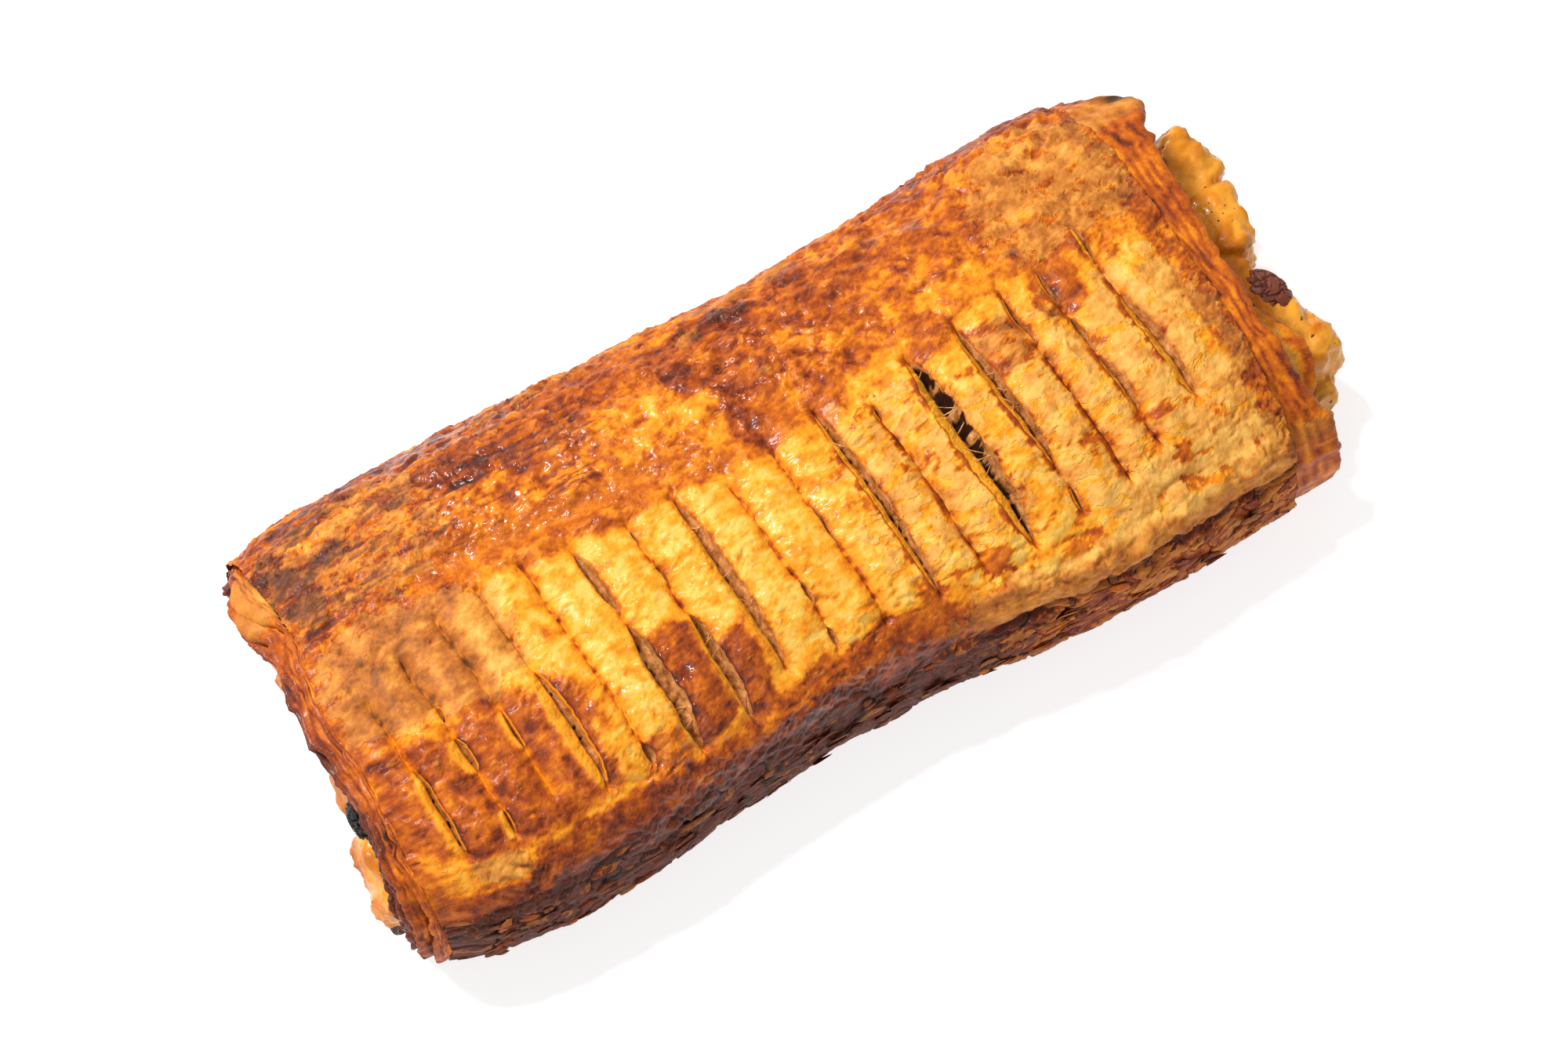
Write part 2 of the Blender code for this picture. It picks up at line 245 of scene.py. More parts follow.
# Half the width of the band of lines round a slit, and the least that half a gape counts (mm).
BAND, LEAST_GAPE = 3.0, 0.16
LEAST_LIP, LIP_STRETCH = 0.06, 1.2
ACROSS = np.linspace(-46, 46, 1841)


def slit_table(number):
    """For one slit, at places across the roll: its middle along x, half its gape, its depth
    (mm), and how open and how creased it is (0 to 1)."""
    middle, _, dark, parts, (start, end) = SLITS[number]
    y, row = ACROSS, np.full_like(ACROSS, 3.7 * number)
    middle = middle + SLIT_SLANT * (y + 12) + 0.35 * noise_at(plane(y, row, 5.0, 1.0), 3)
    crease = ramp(y, start + 0.5, start - 1.5) * ramp(y, end - 0.5, end + 1.5)
    jitter = layers(plane(y, row, 1.8, 1.0), 4, 2)
    gape, depth, opened = 0.2 * crease, 0.0 * y, 0.0 * y
    for high, low, wide in parts:
        along = np.clip(np.abs(y - (high + low) / 2) / ((high - low) / 2), 0, 1)
        boat = (1 - along**2.4) ** 0.8
        gape = np.maximum(gape, boat * wide / 2 * (1 + 0.18 * jitter))
        depth = np.maximum(depth, boat**0.7 * min(3.6, 1.0 + 0.7 * wide + 0.8 * dark))
        opened = np.maximum(opened, ramp(boat, 0.0, 0.45))
    return middle, gape, depth, opened, crease


SLIT_TABLES = np.array([slit_table(number) for number in range(len(SLITS))])


def slit_values(number, y):
    """The rows of a slit's table at places across the roll."""
    return [np.interp(y, ACROSS, row) for row in SLIT_TABLES[number]]


def nearest_slit(x, y):
    """The slit that each place is nearest to: its values there, and the place's offset."""
    middles = np.array([np.interp(y, ACROSS, table[0]) for table in SLIT_TABLES])
    number = np.argmin(np.abs(x - middles), axis=0)
    found = np.zeros((5, *x.shape))
    for k in range(len(SLITS)):
        mine = number == k
        for row, values in zip(found, slit_values(k, y[mine])):
            row[mine] = values
    middle, gape, depth, opened, crease = found
    lip, dark = (np.array([row[k] for row in SLITS])[number] for k in (1, 2))
    lip = LEAST_LIP + LIP_STRETCH * lip
    offset = x - middle
    return SimpleNamespace(
        number=number, offset=offset, gape=gape, depth=depth, opened=opened, crease=crease,
        lip=lip, dark=dark, share=offset / np.maximum(gape, LEAST_GAPE),
        left=-offset - gape, right=offset - gape,
    )


print(len(SLITS), "slits,", sum(len(row[3]) for row in SLITS), "open parts")

# %% [markdown]
# ## The skin's grid
# The visible skin is one fine grid wrapped over the roll. A plain grid would cut across the
# slits and give them saw-tooth walls, so its lines are drawn to follow each slit: thirteen
# lines lie inside a slit, and the rest spread over the slat beside it. At each end a few more
# lines turn the edge of the sheet under, so it shows a real thickness.

# %% Lay out the grid
INSIDE_LINES = (-1.0, -0.88, -0.7, -0.5, -0.3, -0.1, 0.12, 0.34, 0.54, 0.72, 0.85, 0.94, 1.0)
OUTSIDE_LINES = (1.1, 1.28, 1.5, 1.75, 2.0)
BAND_LINES = [-t for t in OUTSIDE_LINES[::-1]] + list(INSIDE_LINES) + list(OUTSIDE_LINES)
GAP_CELLS, END_CELLS = 5, 26
# Half the width that the inside lines take where a slit isn't cut, and how far across the roll
# the slits are looked up (mm).
UNCUT_HALF, TOP_REACH = 1.35, 45
# The turned-under edge: each line's step out along the roll and how far it is sunk (mm).
EDGE_TURN = ((0.12, -0.12), (0.20, -0.42), (0.10, -0.75), (-0.7, -0.98), (-4.0, -1.5))
FRONT_ARC, FRONT_SEAM, REAR_SEAM, REAR_ARC = -62.5, -35.0, 14.0, 60.5
FRONT_ROWS, TOP_ROWS, REAR_ROWS = 96, 160, 132
# The relief dies away over this stretch towards the underside (mm).
EDGE_FADE = 5
arcs = np.concatenate((
    np.linspace(FRONT_ARC, FRONT_SEAM, FRONT_ROWS, endpoint=False),
    np.linspace(FRONT_SEAM, REAR_SEAM, TOP_ROWS, endpoint=False),
    np.linspace(REAR_SEAM, REAR_ARC, REAR_ROWS),
))

# Where the outer sheet stops at the left and right end: place across, place along (mm).
SHEET_STOPS = (
    ((-36, -83.8), (-27, -84.5), (-11, -83.7), (-1, -84.7), (9.4, -83.0), (16.4, -80.6),
     (27, -82.7), (34, -82.4)),
    ((-40, 69.4), (-30, 70.2), (-16, 71.2), (8, 71.2), (21, 71.5), (30, 70.4), (38, 68.6)),
)


def sheet_stop(side, arc):
    """Where the skin ends along x at either end: a torn, slightly wavy edge (mm)."""
    wave = layers(plane(arc, np.full_like(arc, 5.0 + 20 * side), 4.0, 1.0), 8, 3, 0.55)
    across, along = zip(*SHEET_STOPS[side])
    y = roll_points(np.full_like(arc, SKIN_ENDS[side]), turn_at(arc))[:, 1]
    return np.interp(y, across, along) + 0.5 * wave


def across_top(x, arc):
    """The place across the roll, held still on the walls, which no slit reaches."""
    y = roll_points(x, turn_at(arc))[..., 1]
    return np.where(np.abs(arc) < TOP_REACH, y, np.sign(arc) * TOP_REACH)


def band_offset(t, half):
    """How far a line lies from its slit's middle: t is 1 at the slit's wall, 2 at the band's
    edge."""
    outer = half + (BAND - half) * (abs(t) - 1)
    return np.sign(t) * np.where(abs(t) <= 1, half * abs(t), outer)


def grid_columns():
    """The x of every grid line at every arc."""
    found, previous = [], sheet_stop(0, arcs)
    for number in range(len(SLITS)):
        y = across_top(np.full_like(arcs, SLITS[number][0]), arcs)
        middle, gape, _, _, crease = slit_values(number, y)
        half = np.maximum(gape, LEAST_GAPE) * crease + UNCUT_HALF * (1 - crease)
        for k in range(0 if number == 0 else 1, GAP_CELLS):
            found.append(previous + (middle - BAND - previous) * k / GAP_CELLS)
        found += [middle + band_offset(t, half) for t in BAND_LINES]
        previous = middle + BAND
    end = sheet_stop(1, arcs)
    found += [previous + (end - previous) * k / END_CELLS for k in range(1, END_CELLS + 1)]
    return np.array(found)


columns = grid_columns()
print("grid:", len(columns) + 2 * len(EDGE_TURN), "lines by", len(arcs))

# %% [markdown]
# ## Where the skin is brown
# The colour of a crust tells how hot each place got and how much glaze it holds. One number
# says how brown the skin is, from butter gold to charred, and most patches below are places
# where a baker would see it change: gold on the raised slats, orange on the glazed back,
# red-brown where the top leaf has blown off, dark low on the sides. Two patches along the
# front roll are painted light and shade instead: paler on its top, darker on its lower side.
# A second number says where a dry tan leaf still lies over the glaze, a third how much glaze
# stands on it, and a fourth where the crust has the purple tinge that comes before burning.

# %% Paint the crust
# Each patch: place along and across, half length, half width, turn in degrees, value, strength.
BROWN_PATCHES = (
    (-30.0, 7.8, 36.0, 4.4, -3, 0.50, 0.9),
    (-66.5, -20.5, 18.0, 11.0, 0, 0.61, 1.0),
    (-69.0, 0.5, 14.5, 9.0, -8, 0.54, 1.0),
    (-60.0, -33.0, 24.0, 3.2, 0, 0.66, 0.9),
    (-4.0, -31.5, 15.0, 2.8, 3, 0.60, 0.9),
    (-80.5, -8.0, 4.0, 5.0, 0, 0.62, 0.8),
    (-52.0, -3.0, 8.0, 9.0, 0, 0.22, 0.8),
    (-33.4, -23.5, 4.6, 9.0, 0, 0.68, 1.0),
    (-25.2, -26.0, 3.4, 7.0, 0, 0.66, 1.0),
    (-42.0, -30.0, 4.0, 4.0, 0, 0.60, 0.8),
    (-36.0, -35.5, 33.0, 4.0, 2, 0.76, 1.0),
    (-3.0, -35.0, 11.0, 3.4, 0, 0.66, 0.9),
    (-66.0, 24.0, 18.0, 15.0, 8, 0.50, 1.0),
    (-62.0, 33.0, 18.0, 4.5, 6, 0.70, 0.9),
    (-79.5, 20.5, 3.6, 8.0, 12, 0.80, 0.9),
    (-72.5, 22.8, 5.0, 2.2, 10, 0.76, 0.9),
    (-35.0, 29.0, 22.0, 7.0, 5, 0.64, 0.85),
    (-46.5, 24.5, 5.0, 3.5, 0, 0.76, 0.9),
    (-33.0, 22.0, 7.0, 2.6, 8, 0.68, 0.8),
    (-45.0, 12.0, 9.0, 5.0, -4, 0.49, 1.0),
    (-21.0, 17.0, 15.0, 6.0, 5, 0.49, 1.0),
    (-11.0, 14.5, 5.0, 8.0, 20, 0.34, 0.9),
    (-2.0, 24.0, 11.0, 7.0, 8, 0.69, 1.0),
    (-3.0, 10.0, 4.5, 6.5, 0, 0.64, 0.9),
    (5.0, 7.0, 6.0, 6.5, 0, 0.46, 0.8),
    (12.0, 17.0, 8.0, 11.0, 0, 0.58, 0.8),
    (1.0, 28.5, 6.0, 2.6, 5, 0.82, 0.8),
    (14.0, 28.5, 4.0, 2.6, 0, 0.80, 0.8),
    (32.0, 20.0, 13.0, 9.0, 4, 0.56, 1.0),
    (35.0, 11.0, 11.0, 3.4, 3, 0.36, 0.9),
    (46.0, 34.5, 15.0, 4.6, 3, 0.70, 0.9),
    (58.0, 20.0, 13.0, 12.0, 0, 0.46, 1.0),
    (49.0, 3.5, 4.6, 4.5, 0, 0.62, 0.9),
    (37.0, -0.5, 4.0, 4.5, 0, 0.60, 0.8),
    (27.5, 7.5, 4.0, 4.0, 0, 0.60, 0.7),
    # Painted light and shade on the front roll: the first row makes its top paler, the second its lower side
    # darker.
    (42.0, -29.5, 31.0, 4.5, -2, 0.12, 0.9),
    (42.0, -37.6, 31.0, 3.4, -2, 0.40, 0.9),
    (70.0, 0.0, 3.4, 40.0, 0, 0.60, 0.7),
    (67.0, 35.0, 8.0, 5.5, 0, 0.74, 0.9),
    (-74.5, -31.5, 6.5, 2.6, -8, 0.36, 0.9),
)
TAN_PATCHES = (
    (-68.5, -0.5, 15.5, 9.0, -8, 0.95, 1.0),
    (-68.0, 22.0, 16.0, 12.0, 0, 0.56, 1.0),
    (-73.0, -31.0, 4.4, 2.2, -8, 0.95, 1.0),
    (40.0, -34.5, 31.0, 4.4, -1, 0.95, 1.0),
    (19.0, -34.0, 8.0, 4.0, 0, 0.85, 1.0),
    (54.0, -28.5, 16.0, 4.0, 0, 0.9, 1.0),
    (58.0, 20.0, 13.0, 12.0, 0, 0.66, 1.0),
    (14.7, 32.8, 3.0, 1.1, 8, 1.0, 1.0),
    (6.2, 32.0, 3.2, 1.2, 6, 1.0, 1.0),
    (0.9, 33.0, 3.2, 1.3, 6, 1.0, 1.0),
    (-5.0, 27.4, 2.3, 1.1, 10, 1.0, 1.0),
    (60.0, -12.0, 11.0, 15.0, 0, 0.74, 0.9),
    (40.0, -13.0, 10.0, 17.0, 0, 0.60, 0.9),
    (15.0, -14.0, 14.0, 15.0, 0, 0.60, 0.9),
    (-25.0, 33.0, 19.0, 2.5, 3, 0.55, 0.8),
)
GLAZE_PATCHES = (
    (-34.0, -26.0, 20.0, 9.0, 0, 1.0, 1.0),
    (-26.0, -35.0, 36.0, 4.5, 2, 1.0, 1.0),
    (-46.0, 17.0, 9.0, 9.0, 0, 1.0, 1.0),
    (-15.0, 16.0, 26.0, 8.0, 5, 0.7, 1.0),
    (30.0, 20.0, 15.0, 9.0, 5, 0.6, 1.0),
    (-10.0, -8.0, 13.0, 20.0, 0, 0.6, 0.8),
    (-45.0, 32.0, 14.0, 4.0, 3, 0.9, 0.8),
    (-52.0, -26.0, 4.0, 5.0, 0, 0.8, 0.8),
)
PURPLE_PATCHES = (
    (-79.5, 20.0, 4.0, 9.0, 12, 0.8, 1.0),
    (-72.5, 22.8, 5.5, 2.4, 10, 0.9, 1.0),
    (-60.0, 34.0, 18.0, 4.0, 6, 0.6, 1.0),
    (-34.0, 22.5, 7.0, 2.8, 8, 0.7, 1.0),
    (-45.0, 29.0, 12.0, 2.6, 6, 0.7, 1.0),
    (70.0, 0.0, 2.6, 40.0, 0, 0.4, 1.0),
    (31.0, 26.8, 6.0, 1.1, -6, 0.9, 1.0),
    (66.0, 37.0, 8.0, 3.0, 0, 0.7, 1.0),
)


def paint(value, patches, x, arc, seed, ragged=0.22, soft=0.3):
    """Lays each patch over value: a rounded block with an uneven edge."""
    uneven = ragged * layers(plane(x, arc, 6.0, 4.5), seed, 5, 0.62)
    for along, across, long, wide, turn, level, strength in patches:
        dx, dy = x - along, arc - arc_at(across)
        c, s = math.cos(math.radians(turn)), math.sin(math.radians(turn))
        away = (np.abs((dx * c + dy * s) / long) ** 3 + np.abs((dy * c - dx * s) / wide) ** 3) ** (1 / 3)
        cover = strength * ramp(away + uneven * (4.0 / min(long, wide)) ** 0.5, 1 + soft, 1 - soft)
        value = value + (level - value) * cover
    return value


print(len(BROWN_PATCHES), "patches of colour")

# %% [markdown]
# ## The skin's relief
# The same fields shape the skin. Slats arch up between the slits, the back is crumpled like
# foil under its glaze, a step runs where the slats' rear ends meet a pool of glaze, a puffed
# roll runs along the front shoulder, and the side walls below are broken into small
# overlapping leaves, each a tilted cell with a sharp lower edge.

# %% Zones and noises
# Where the step behind the slats and the long fold of the back run: places along, places across.
STEP_LINE = ((-64, -50, -42, -35, -27, -20), (9.0, 8.4, 7.5, 6.8, 6.0, 6.0))
FOLD_LINE = ((18, 30, 40), (18.0, 16.2, 12.6))
WIDEST_SLIT = 12


def folds_at(places, seed, count, fade, sharp=2.0):
    """Noise that is 1 along thin folds, where smooth noise crosses zero."""
    return 1 - sharp * np.abs(layers(places, seed, count, fade))


def skin_zones(x, arc, y):
    """How far each place belongs to the slatted top, the back and the walls, and its noises."""
    warp = layers(plane(x, arc, 6), 27, 2)
    wall_edge = 1.2 * warp
    zone = SimpleNamespace(
        slit=nearest_slit(x, y), warp=warp,
        slats=ramp(y, 9.5, 4) * ramp(arc, -38, -31) * ramp(x, -84, -79) * ramp(x, 70, 63),
        rear=ramp(arc, 6, 14),
        front_wall=ramp(arc + wall_edge, -37.5, -41.5),
        rear_wall=ramp(arc + wall_edge, 42, 47),
        top=ramp(arc, -47, -38) * ramp(arc, 52, 44),
        right_half=ramp(x, -6, 6),
        lumps=layers(plane(x, arc, 16, 11), 21, 2),
        mid=layers(plane(x, arc, 6, 4.4), 23, 3),
        fine=layers(plane(x, arc, 1.7, 1.3), 37, 3, 0.6),
        mottle=layers(plane(x, arc, 3.2, 2.6), 81, 4, 0.65),
        flaky=layers(plane(x, arc, 4.5, 2.6), 181, 6, 0.66),
        ridges=folds_at(plane(x + 3 * warp, arc + 2 * warp, 6.5, 3.4), 31, 3, 0.5),
        veins=folds_at(plane(x + 2 * warp, arc, 3.2, 2.2), 45, 2, 0.55, 2.6),
        wrinkles=folds_at(plane(x + 1.5 * warp, arc - 1.5 * warp, 3.4, 2.0), 35, 3, 0.6, 2.2),
        crackle=folds_at(plane(x + warp, arc, 2.2, 1.4), 41, 3, 0.6),
        rough=ramp(noise_at(plane(x, arc, 13, 9), 47), -0.35, 0.3),
        streaks=layers(plane(x, arc - 0.06 * x + 0.8 * warp, 13.0, 1.25), 151, 4, 0.6),
    )
    leaf_places = plane(x + 3 * warp, arc + 0.9 * warp + 0.3 * zone.mid, 6.6, 2.1)
    near, far, zone.leaf_number, zone.leaf_past = cells_at(leaf_places, 61)
    zone.leaf_edge = ramp(far - near, 0.0, 0.14)
    return zone


# %% Raise the skin
def raise_top(x, arc, zone):
    """The lumps of the whole skin, the arched slats and the crumpled back (mm)."""
    smooth_sheet = hump(x, 33, 12) * hump(arc, 21, 9)
    height = 0.5 * zone.lumps + 0.26 * zone.mid
    puff = 1 - (1 - np.clip(np.abs(zone.slit.offset) / 4.2, 0, 1)) ** 1.8
    rise = 0.95 + 0.4 * ramp(x, -5, 15)
    height += zone.slats * zone.slit.crease * rise * (puff - 0.75)
    height += 0.12 * zone.fine * (1 - 0.4 * zone.slats)
    leathery = zone.top * (0.35 + 0.65 * ramp(zone.lumps, -0.3, 0.3)) * (1 - 0.6 * smooth_sheet)
    height += 0.27 * leathery * zone.wrinkles
    crumple = zone.rear * zone.top * (1 - 0.75 * smooth_sheet)
    height += crumple * zone.rough * (0.34 * zone.ridges + 0.10 * np.maximum(zone.veins, -0.6))
    height += crumple * 0.22 * zone.mid
    height -= 0.12 * crumple * ramp(zone.streaks, 0.2, 0.5)
    return height


def add_folds(height, x, arc, zone):
    """The step behind the slats, the folds of the back, and the roll along the front."""
    warp = zone.warp
    step = arc - arc_at(np.interp(x, *STEP_LINE)) - 0.8 * warp
    along_step = ramp(x, -66, -60) * ramp(x, -18, -26)
    height += along_step * (0.6 * hump(step, -1.2, 1.6) - 0.8 * hump(step, 2.6, 2.6))
    fold = arc - np.interp(x, *FOLD_LINE) - 0.4 * warp
    height += 0.45 * hump(fold, 0, 0.7) * ramp(x, 17, 21) * ramp(x, 42, 36)
    height += 0.35 * (hump(x + 0.35 * (arc - 24), 16.5, 0.8) * hump(arc, 24, 6))

    zone.roll = hump(arc + 36.5 + 0.9 * warp, 0, 3.0) * ramp(x, 8, 18) * ramp(x, 71.5, 68)
    height += 1.3 * zone.roll * (1 + 0.6 * zone.mid)
    zone.seam = hump(arc + 31.6 + 1.2 * warp, 0, 0.7) * ramp(x, 12, 20) * ramp(x, 70, 66)
    height -= 0.55 * zone.seam * ramp(noise_at(plane(x, arc, 7), 49), -0.3, 0.2)
    zone.under_roll = hump(arc + 40.6 + 1.4 * warp, 0, 0.8) * ramp(x, 10, 18)
    height -= 0.9 * zone.under_roll
    drip = ramp(arc + 1.8 * layers(plane(x, 0 * arc, 8), 51, 3), -42.5, -40.8)
    height += 0.55 * ramp(x, -58, -48) * ramp(x, 14, 6) * drip * ramp(arc, -31, -37)
    height += ramp(x, 67.5, 69.5) * zone.top * (0.30 * zone.crackle - 0.1)
    zone.step_pool = along_step * hump(step, 3.0, 2.8)


def break_walls(height, zone):
    """The walls' small leaves, each tilted, with a groove round it."""
    walls = np.maximum(zone.front_wall, 0.5 * zone.rear_wall)
    shingle = 0.65 * zone.leaf_number - 0.30 - 0.5 * zone.leaf_past
    height += walls * (0.75 * shingle * zone.leaf_edge - 0.5 * (1 - zone.leaf_edge))


# %% [markdown]
# An open slit isn't a plain groove. Its left side slopes down from the lip to a valley, where
# steam has torn small holes, and its right side climbs steeply to the next slat. Where a slit
# stayed shut it is only a thin stitched crease.

# %% Cut the slits
def cut_slits(height, x, y, zone):
    """The inside of each slit: its lip, the valley with its pits, and the far wall."""
    slit = zone.slit
    row = slit.number * 5.0
    valley = -1 + 2.5 * slit.lip
    sill = 0.26 * ramp(slit.share, -1.0, valley - 0.1)
    sill += 0.74 * ramp(slit.share, valley - 0.3, valley + 0.05)
    far_side = np.clip((1 - slit.share) / np.maximum(1 - valley, 0.2), 0, 1) ** 0.6
    in_slit = np.where(slit.share < valley + 0.05, sill, far_side) * (np.abs(slit.share) < 1)
    torn_open = np.where(slit.number == WIDEST_SLIT, ramp(y, -17, -11) * ramp(y, 5, 1), 0.0)
    holes = noise_at(plane(y, row, 1.6 + 0.9 * torn_open, 1.0), 95)
    holes += 0.3 * noise_at(plane(x, y, 0.8, 0.9), 96)
    chain = ramp(holes, 0.38 - 0.66 * slit.dark, 0.6 - 0.66 * slit.dark)
    wide = 0.20 + 0.10 * slit.dark + 0.26 * torn_open
    pits = chain * hump(slit.share, valley + 0.08 + 0.3 * torn_open, wide)
    crumb = 0.16 * layers(plane(x, y, 0.7, 1.6), 93, 3, 0.6)
    height -= in_slit * (slit.depth + (0.8 * pits * slit.dark - crumb) * slit.opened)
    stitched = ramp(noise_at(plane(y, row, 2.6, 1), 97), -0.7, 0.1)
    closed = slit.crease * (1 - slit.opened) * stitched
    height -= 0.42 * closed * hump(slit.offset, 0, 0.42)
    height += 0.28 * slit.opened * (hump(slit.left, 0.5, 0.5) + 0.6 * hump(slit.right, 0.45, 0.4))
    zone.valley, zone.pits, zone.closed = valley, pits, closed


def skin_height(x, arc, y, zone):
    """How far the skin stands out above the smooth roll (mm)."""
    height = raise_top(x, arc, zone)
    add_folds(height, x, arc, zone)
    break_walls(height, zone)
    cut_slits(height, x, y, zone)
    return height


# %% [markdown]
# Colour goes with shape. The crests of the folds are painted paler, as painted light, glaze pools
# behind the slats, the grooves between the walls' leaves are darkest with painted shade, and
# inside a slit a golden lip gives way to pale crumb and to holes painted near black as painted
# shade. So the colours are worked out from the same zones as the relief.

# %% Colour the top
SKIN_BROWN, SLAT_BROWN, BARE_BROWN, LIP_BROWN = 0.54, 0.19, 0.58, 0.10
# The front wall's brownness is partly its dark crust and partly painted shade, kept dark against the light
# that the glowing table throws onto it.
FRONT_BROWN_AND_SHADE, REAR_BROWN, POOL_BROWN = 0.83, 0.66, 0.42


def colour_top(x, arc, y, zone):
    """Brownness and tan of the slats and the back."""
    brown = np.full_like(x, SKIN_BROWN)
    on_slats = ramp(y, 10.5, 7.0) * ramp(arc, -35, -31) * ramp(x, -84, -80)
    brown += (SLAT_BROWN + 0.04 * zone.right_half - brown) * on_slats
    brown = paint(brown, BROWN_PATCHES, x, arc, 71, 0.24, 0.16)
    crumple = zone.rear * zone.top
    # Painted light and shade: the crests of the back's folds and wrinkles are made paler, and the ground
    # between them a little darker.
    brown -= crumple * zone.rough * (0.12 * zone.ridges + 0.06 * np.maximum(zone.veins, 0))
    brown -= 0.07 * zone.top * zone.wrinkles
    brown += crumple * 0.16 * ramp(zone.streaks, 0.16, 0.34) * ramp(x, -18, -30)
    for share, noise in ((0.17, zone.mottle), (0.07, zone.mid), (0.06, zone.fine)):
        brown += share * noise
    # Painted shade and light: the slats are made browner where they dip into each slit and paler on their
    # crowns.
    brown += 0.16 * zone.slats * zone.slit.crease * (hump(zone.slit.offset, 0, 1.5) - 0.35)
    tan = paint(np.full_like(x, 0.12), TAN_PATCHES, x, arc, 171, 0.30, 0.2)
    tan += 0.40 * zone.flaky
    return brown, tan


def colour_slats(brown, tan, x, arc, y, zone):
    """Changes both where the top leaf has blown off the slats, and at the slits' rims."""
    slit, right_half = zone.slit, zone.right_half
    blown = layers(plane(x, arc, 7.0, 4.5), 201, 6, 0.62)
    blown = blown + 0.34 * ramp(y, -24, -30) + 0.36 * ramp(y, 0, 6)
    bare = 0.8 * ramp(blown, 0.62, 0.70) * zone.slats * right_half
    strip_wide = 0.35 + 0.9 * ramp(layers(plane(x, y, 9.0, 3.0), 207, 4, 0.6), -0.4, 0.5)
    strip = ramp(slit.left, strip_wide + 0.12, strip_wide - 0.12) * ramp(slit.left, -0.25, -0.05)
    strip = strip * slit.crease * right_half * ramp(noise_at(plane(x, y, 11, 7), 209), -0.45, -0.1)
    bare = np.maximum(bare, strip)
    torn = hump(slit.left, strip_wide + 0.22, 0.16) * slit.crease * right_half * zone.slats
    brown += (BARE_BROWN + 0.08 * zone.fine - brown) * bare
    brown -= 0.12 * torn
    tan *= 1 - bare
    left_gold = hump(slit.left, 0.15, 0.7) * slit.opened
    left_gold += 0.6 * zone.closed * hump(slit.offset, 0, 0.8)
    gold_there = ramp(x, -46, -54) * ramp(y, -6, -10)
    golden = np.clip(left_gold * (0.35 + 0.65 * gold_there), 0, 1)
    brown += (LIP_BROWN - brown) * golden * (1 - strip)
    brown += 0.16 * hump(slit.right, 0.1, 0.35) * slit.opened
    # Painted shade: a dotted darker line along the middle of each shut crease.
    dots = ramp(noise_at(plane(x, y, 0.8, 1.5), 213), -0.25, 0.25)
    brown += 0.36 * zone.closed * (1 - gold_there) * hump(slit.offset, 0, 0.4) * dots


# %% Colour the walls and the slits
def colour_walls(brown, tan, x, arc, zone):
    """Changes both on the dark walls with their leaves, on the tan roll, and in the grooves, under the roll
    and along its seam, which get painted shade.
    """
    # The front wall: dark crust with painted shade, darker towards the bottom and paler towards the right.
    front = FRONT_BROWN_AND_SHADE + 0.10 * ramp(arc, -50, -60) - 0.20 * ramp(x, 8, 26) + 0.10 * zone.mottle
    brown += (front - brown) * zone.front_wall
    rear = REAR_BROWN + 0.16 * ramp(arc, 48, 58) + 0.10 * zone.mottle
    brown += (rear - brown) * zone.rear_wall
    leafy = 0.6 * zone.leaf_number - 0.16 + 0.5 * zone.flaky
    leafy = leafy + 0.25 * ramp(x, 5, 20) - 0.3 * ramp(arc, -54, -62)
    tan += (leafy - tan) * zone.walls
    brown -= 0.16 * zone.walls * ramp(tan, 0.42, 0.56)
    # Painted shade: the grooves round the walls' leaves, the groove under the front roll and the roll's seam
    # are made browner, and the grooves lose their tan.
    groove = 1 - zone.leaf_edge
    crevice_shade = np.maximum(zone.front_wall, 0.35 * zone.rear_wall) * groove
    brown += 0.30 * (crevice_shade + 0.9 * zone.under_roll + 0.35 * zone.seam)
    tan -= 0.5 * zone.walls * groove
    tan += 0.75 * zone.roll
    brown -= 0.14 * zone.roll
    # Painted shade: a darker band just outside the edge of each tan leaf. The paler band just inside is the
    # leaf's own crisp edge.
    brown += 0.10 * hump(tan, 0.41, 0.05)
    brown -= 0.10 * hump(tan, 0.54, 0.05)


def slit_fields(x, zone):
    """Where a slit shows its golden lip and its pale crumb, and where its holes and valley are painted near
    black as painted shade.
    """
    slit, share = zone.slit, zone.slit.share
    lip_edge, crumb_edge = -1 + 2.2 * slit.lip, -1 + 2.55 * slit.lip
    left_end = ramp(x, -46, -54)
    lip = ramp(share, -1.12, -0.98) * ramp(share, crumb_edge, lip_edge) * slit.opened
    crumb = ramp(share, lip_edge, crumb_edge) * ramp(share, 1.03, 0.93) * slit.opened
    shade = hump(share, zone.valley + 0.06, 0.12) * (0.45 + 0.5 * zone.mid) * (0.4 + slit.dark)
    # Painted shade: the holes and the valley of each open slit, which the crust's material tints near black.
    hollow = (np.abs(share) < 1.0) * slit.opened * np.clip(1.2 * zone.pits + shade, 0, 1)
    far_lip = 0.7 * slit.opened * ramp(share, 0.80, 0.95) * ramp(share, 1.1, 1.0) * left_end
    crumb *= 1 - ramp(share, 0.78, 0.92) * left_end
    return np.maximum(lip, far_lip), crumb, hollow


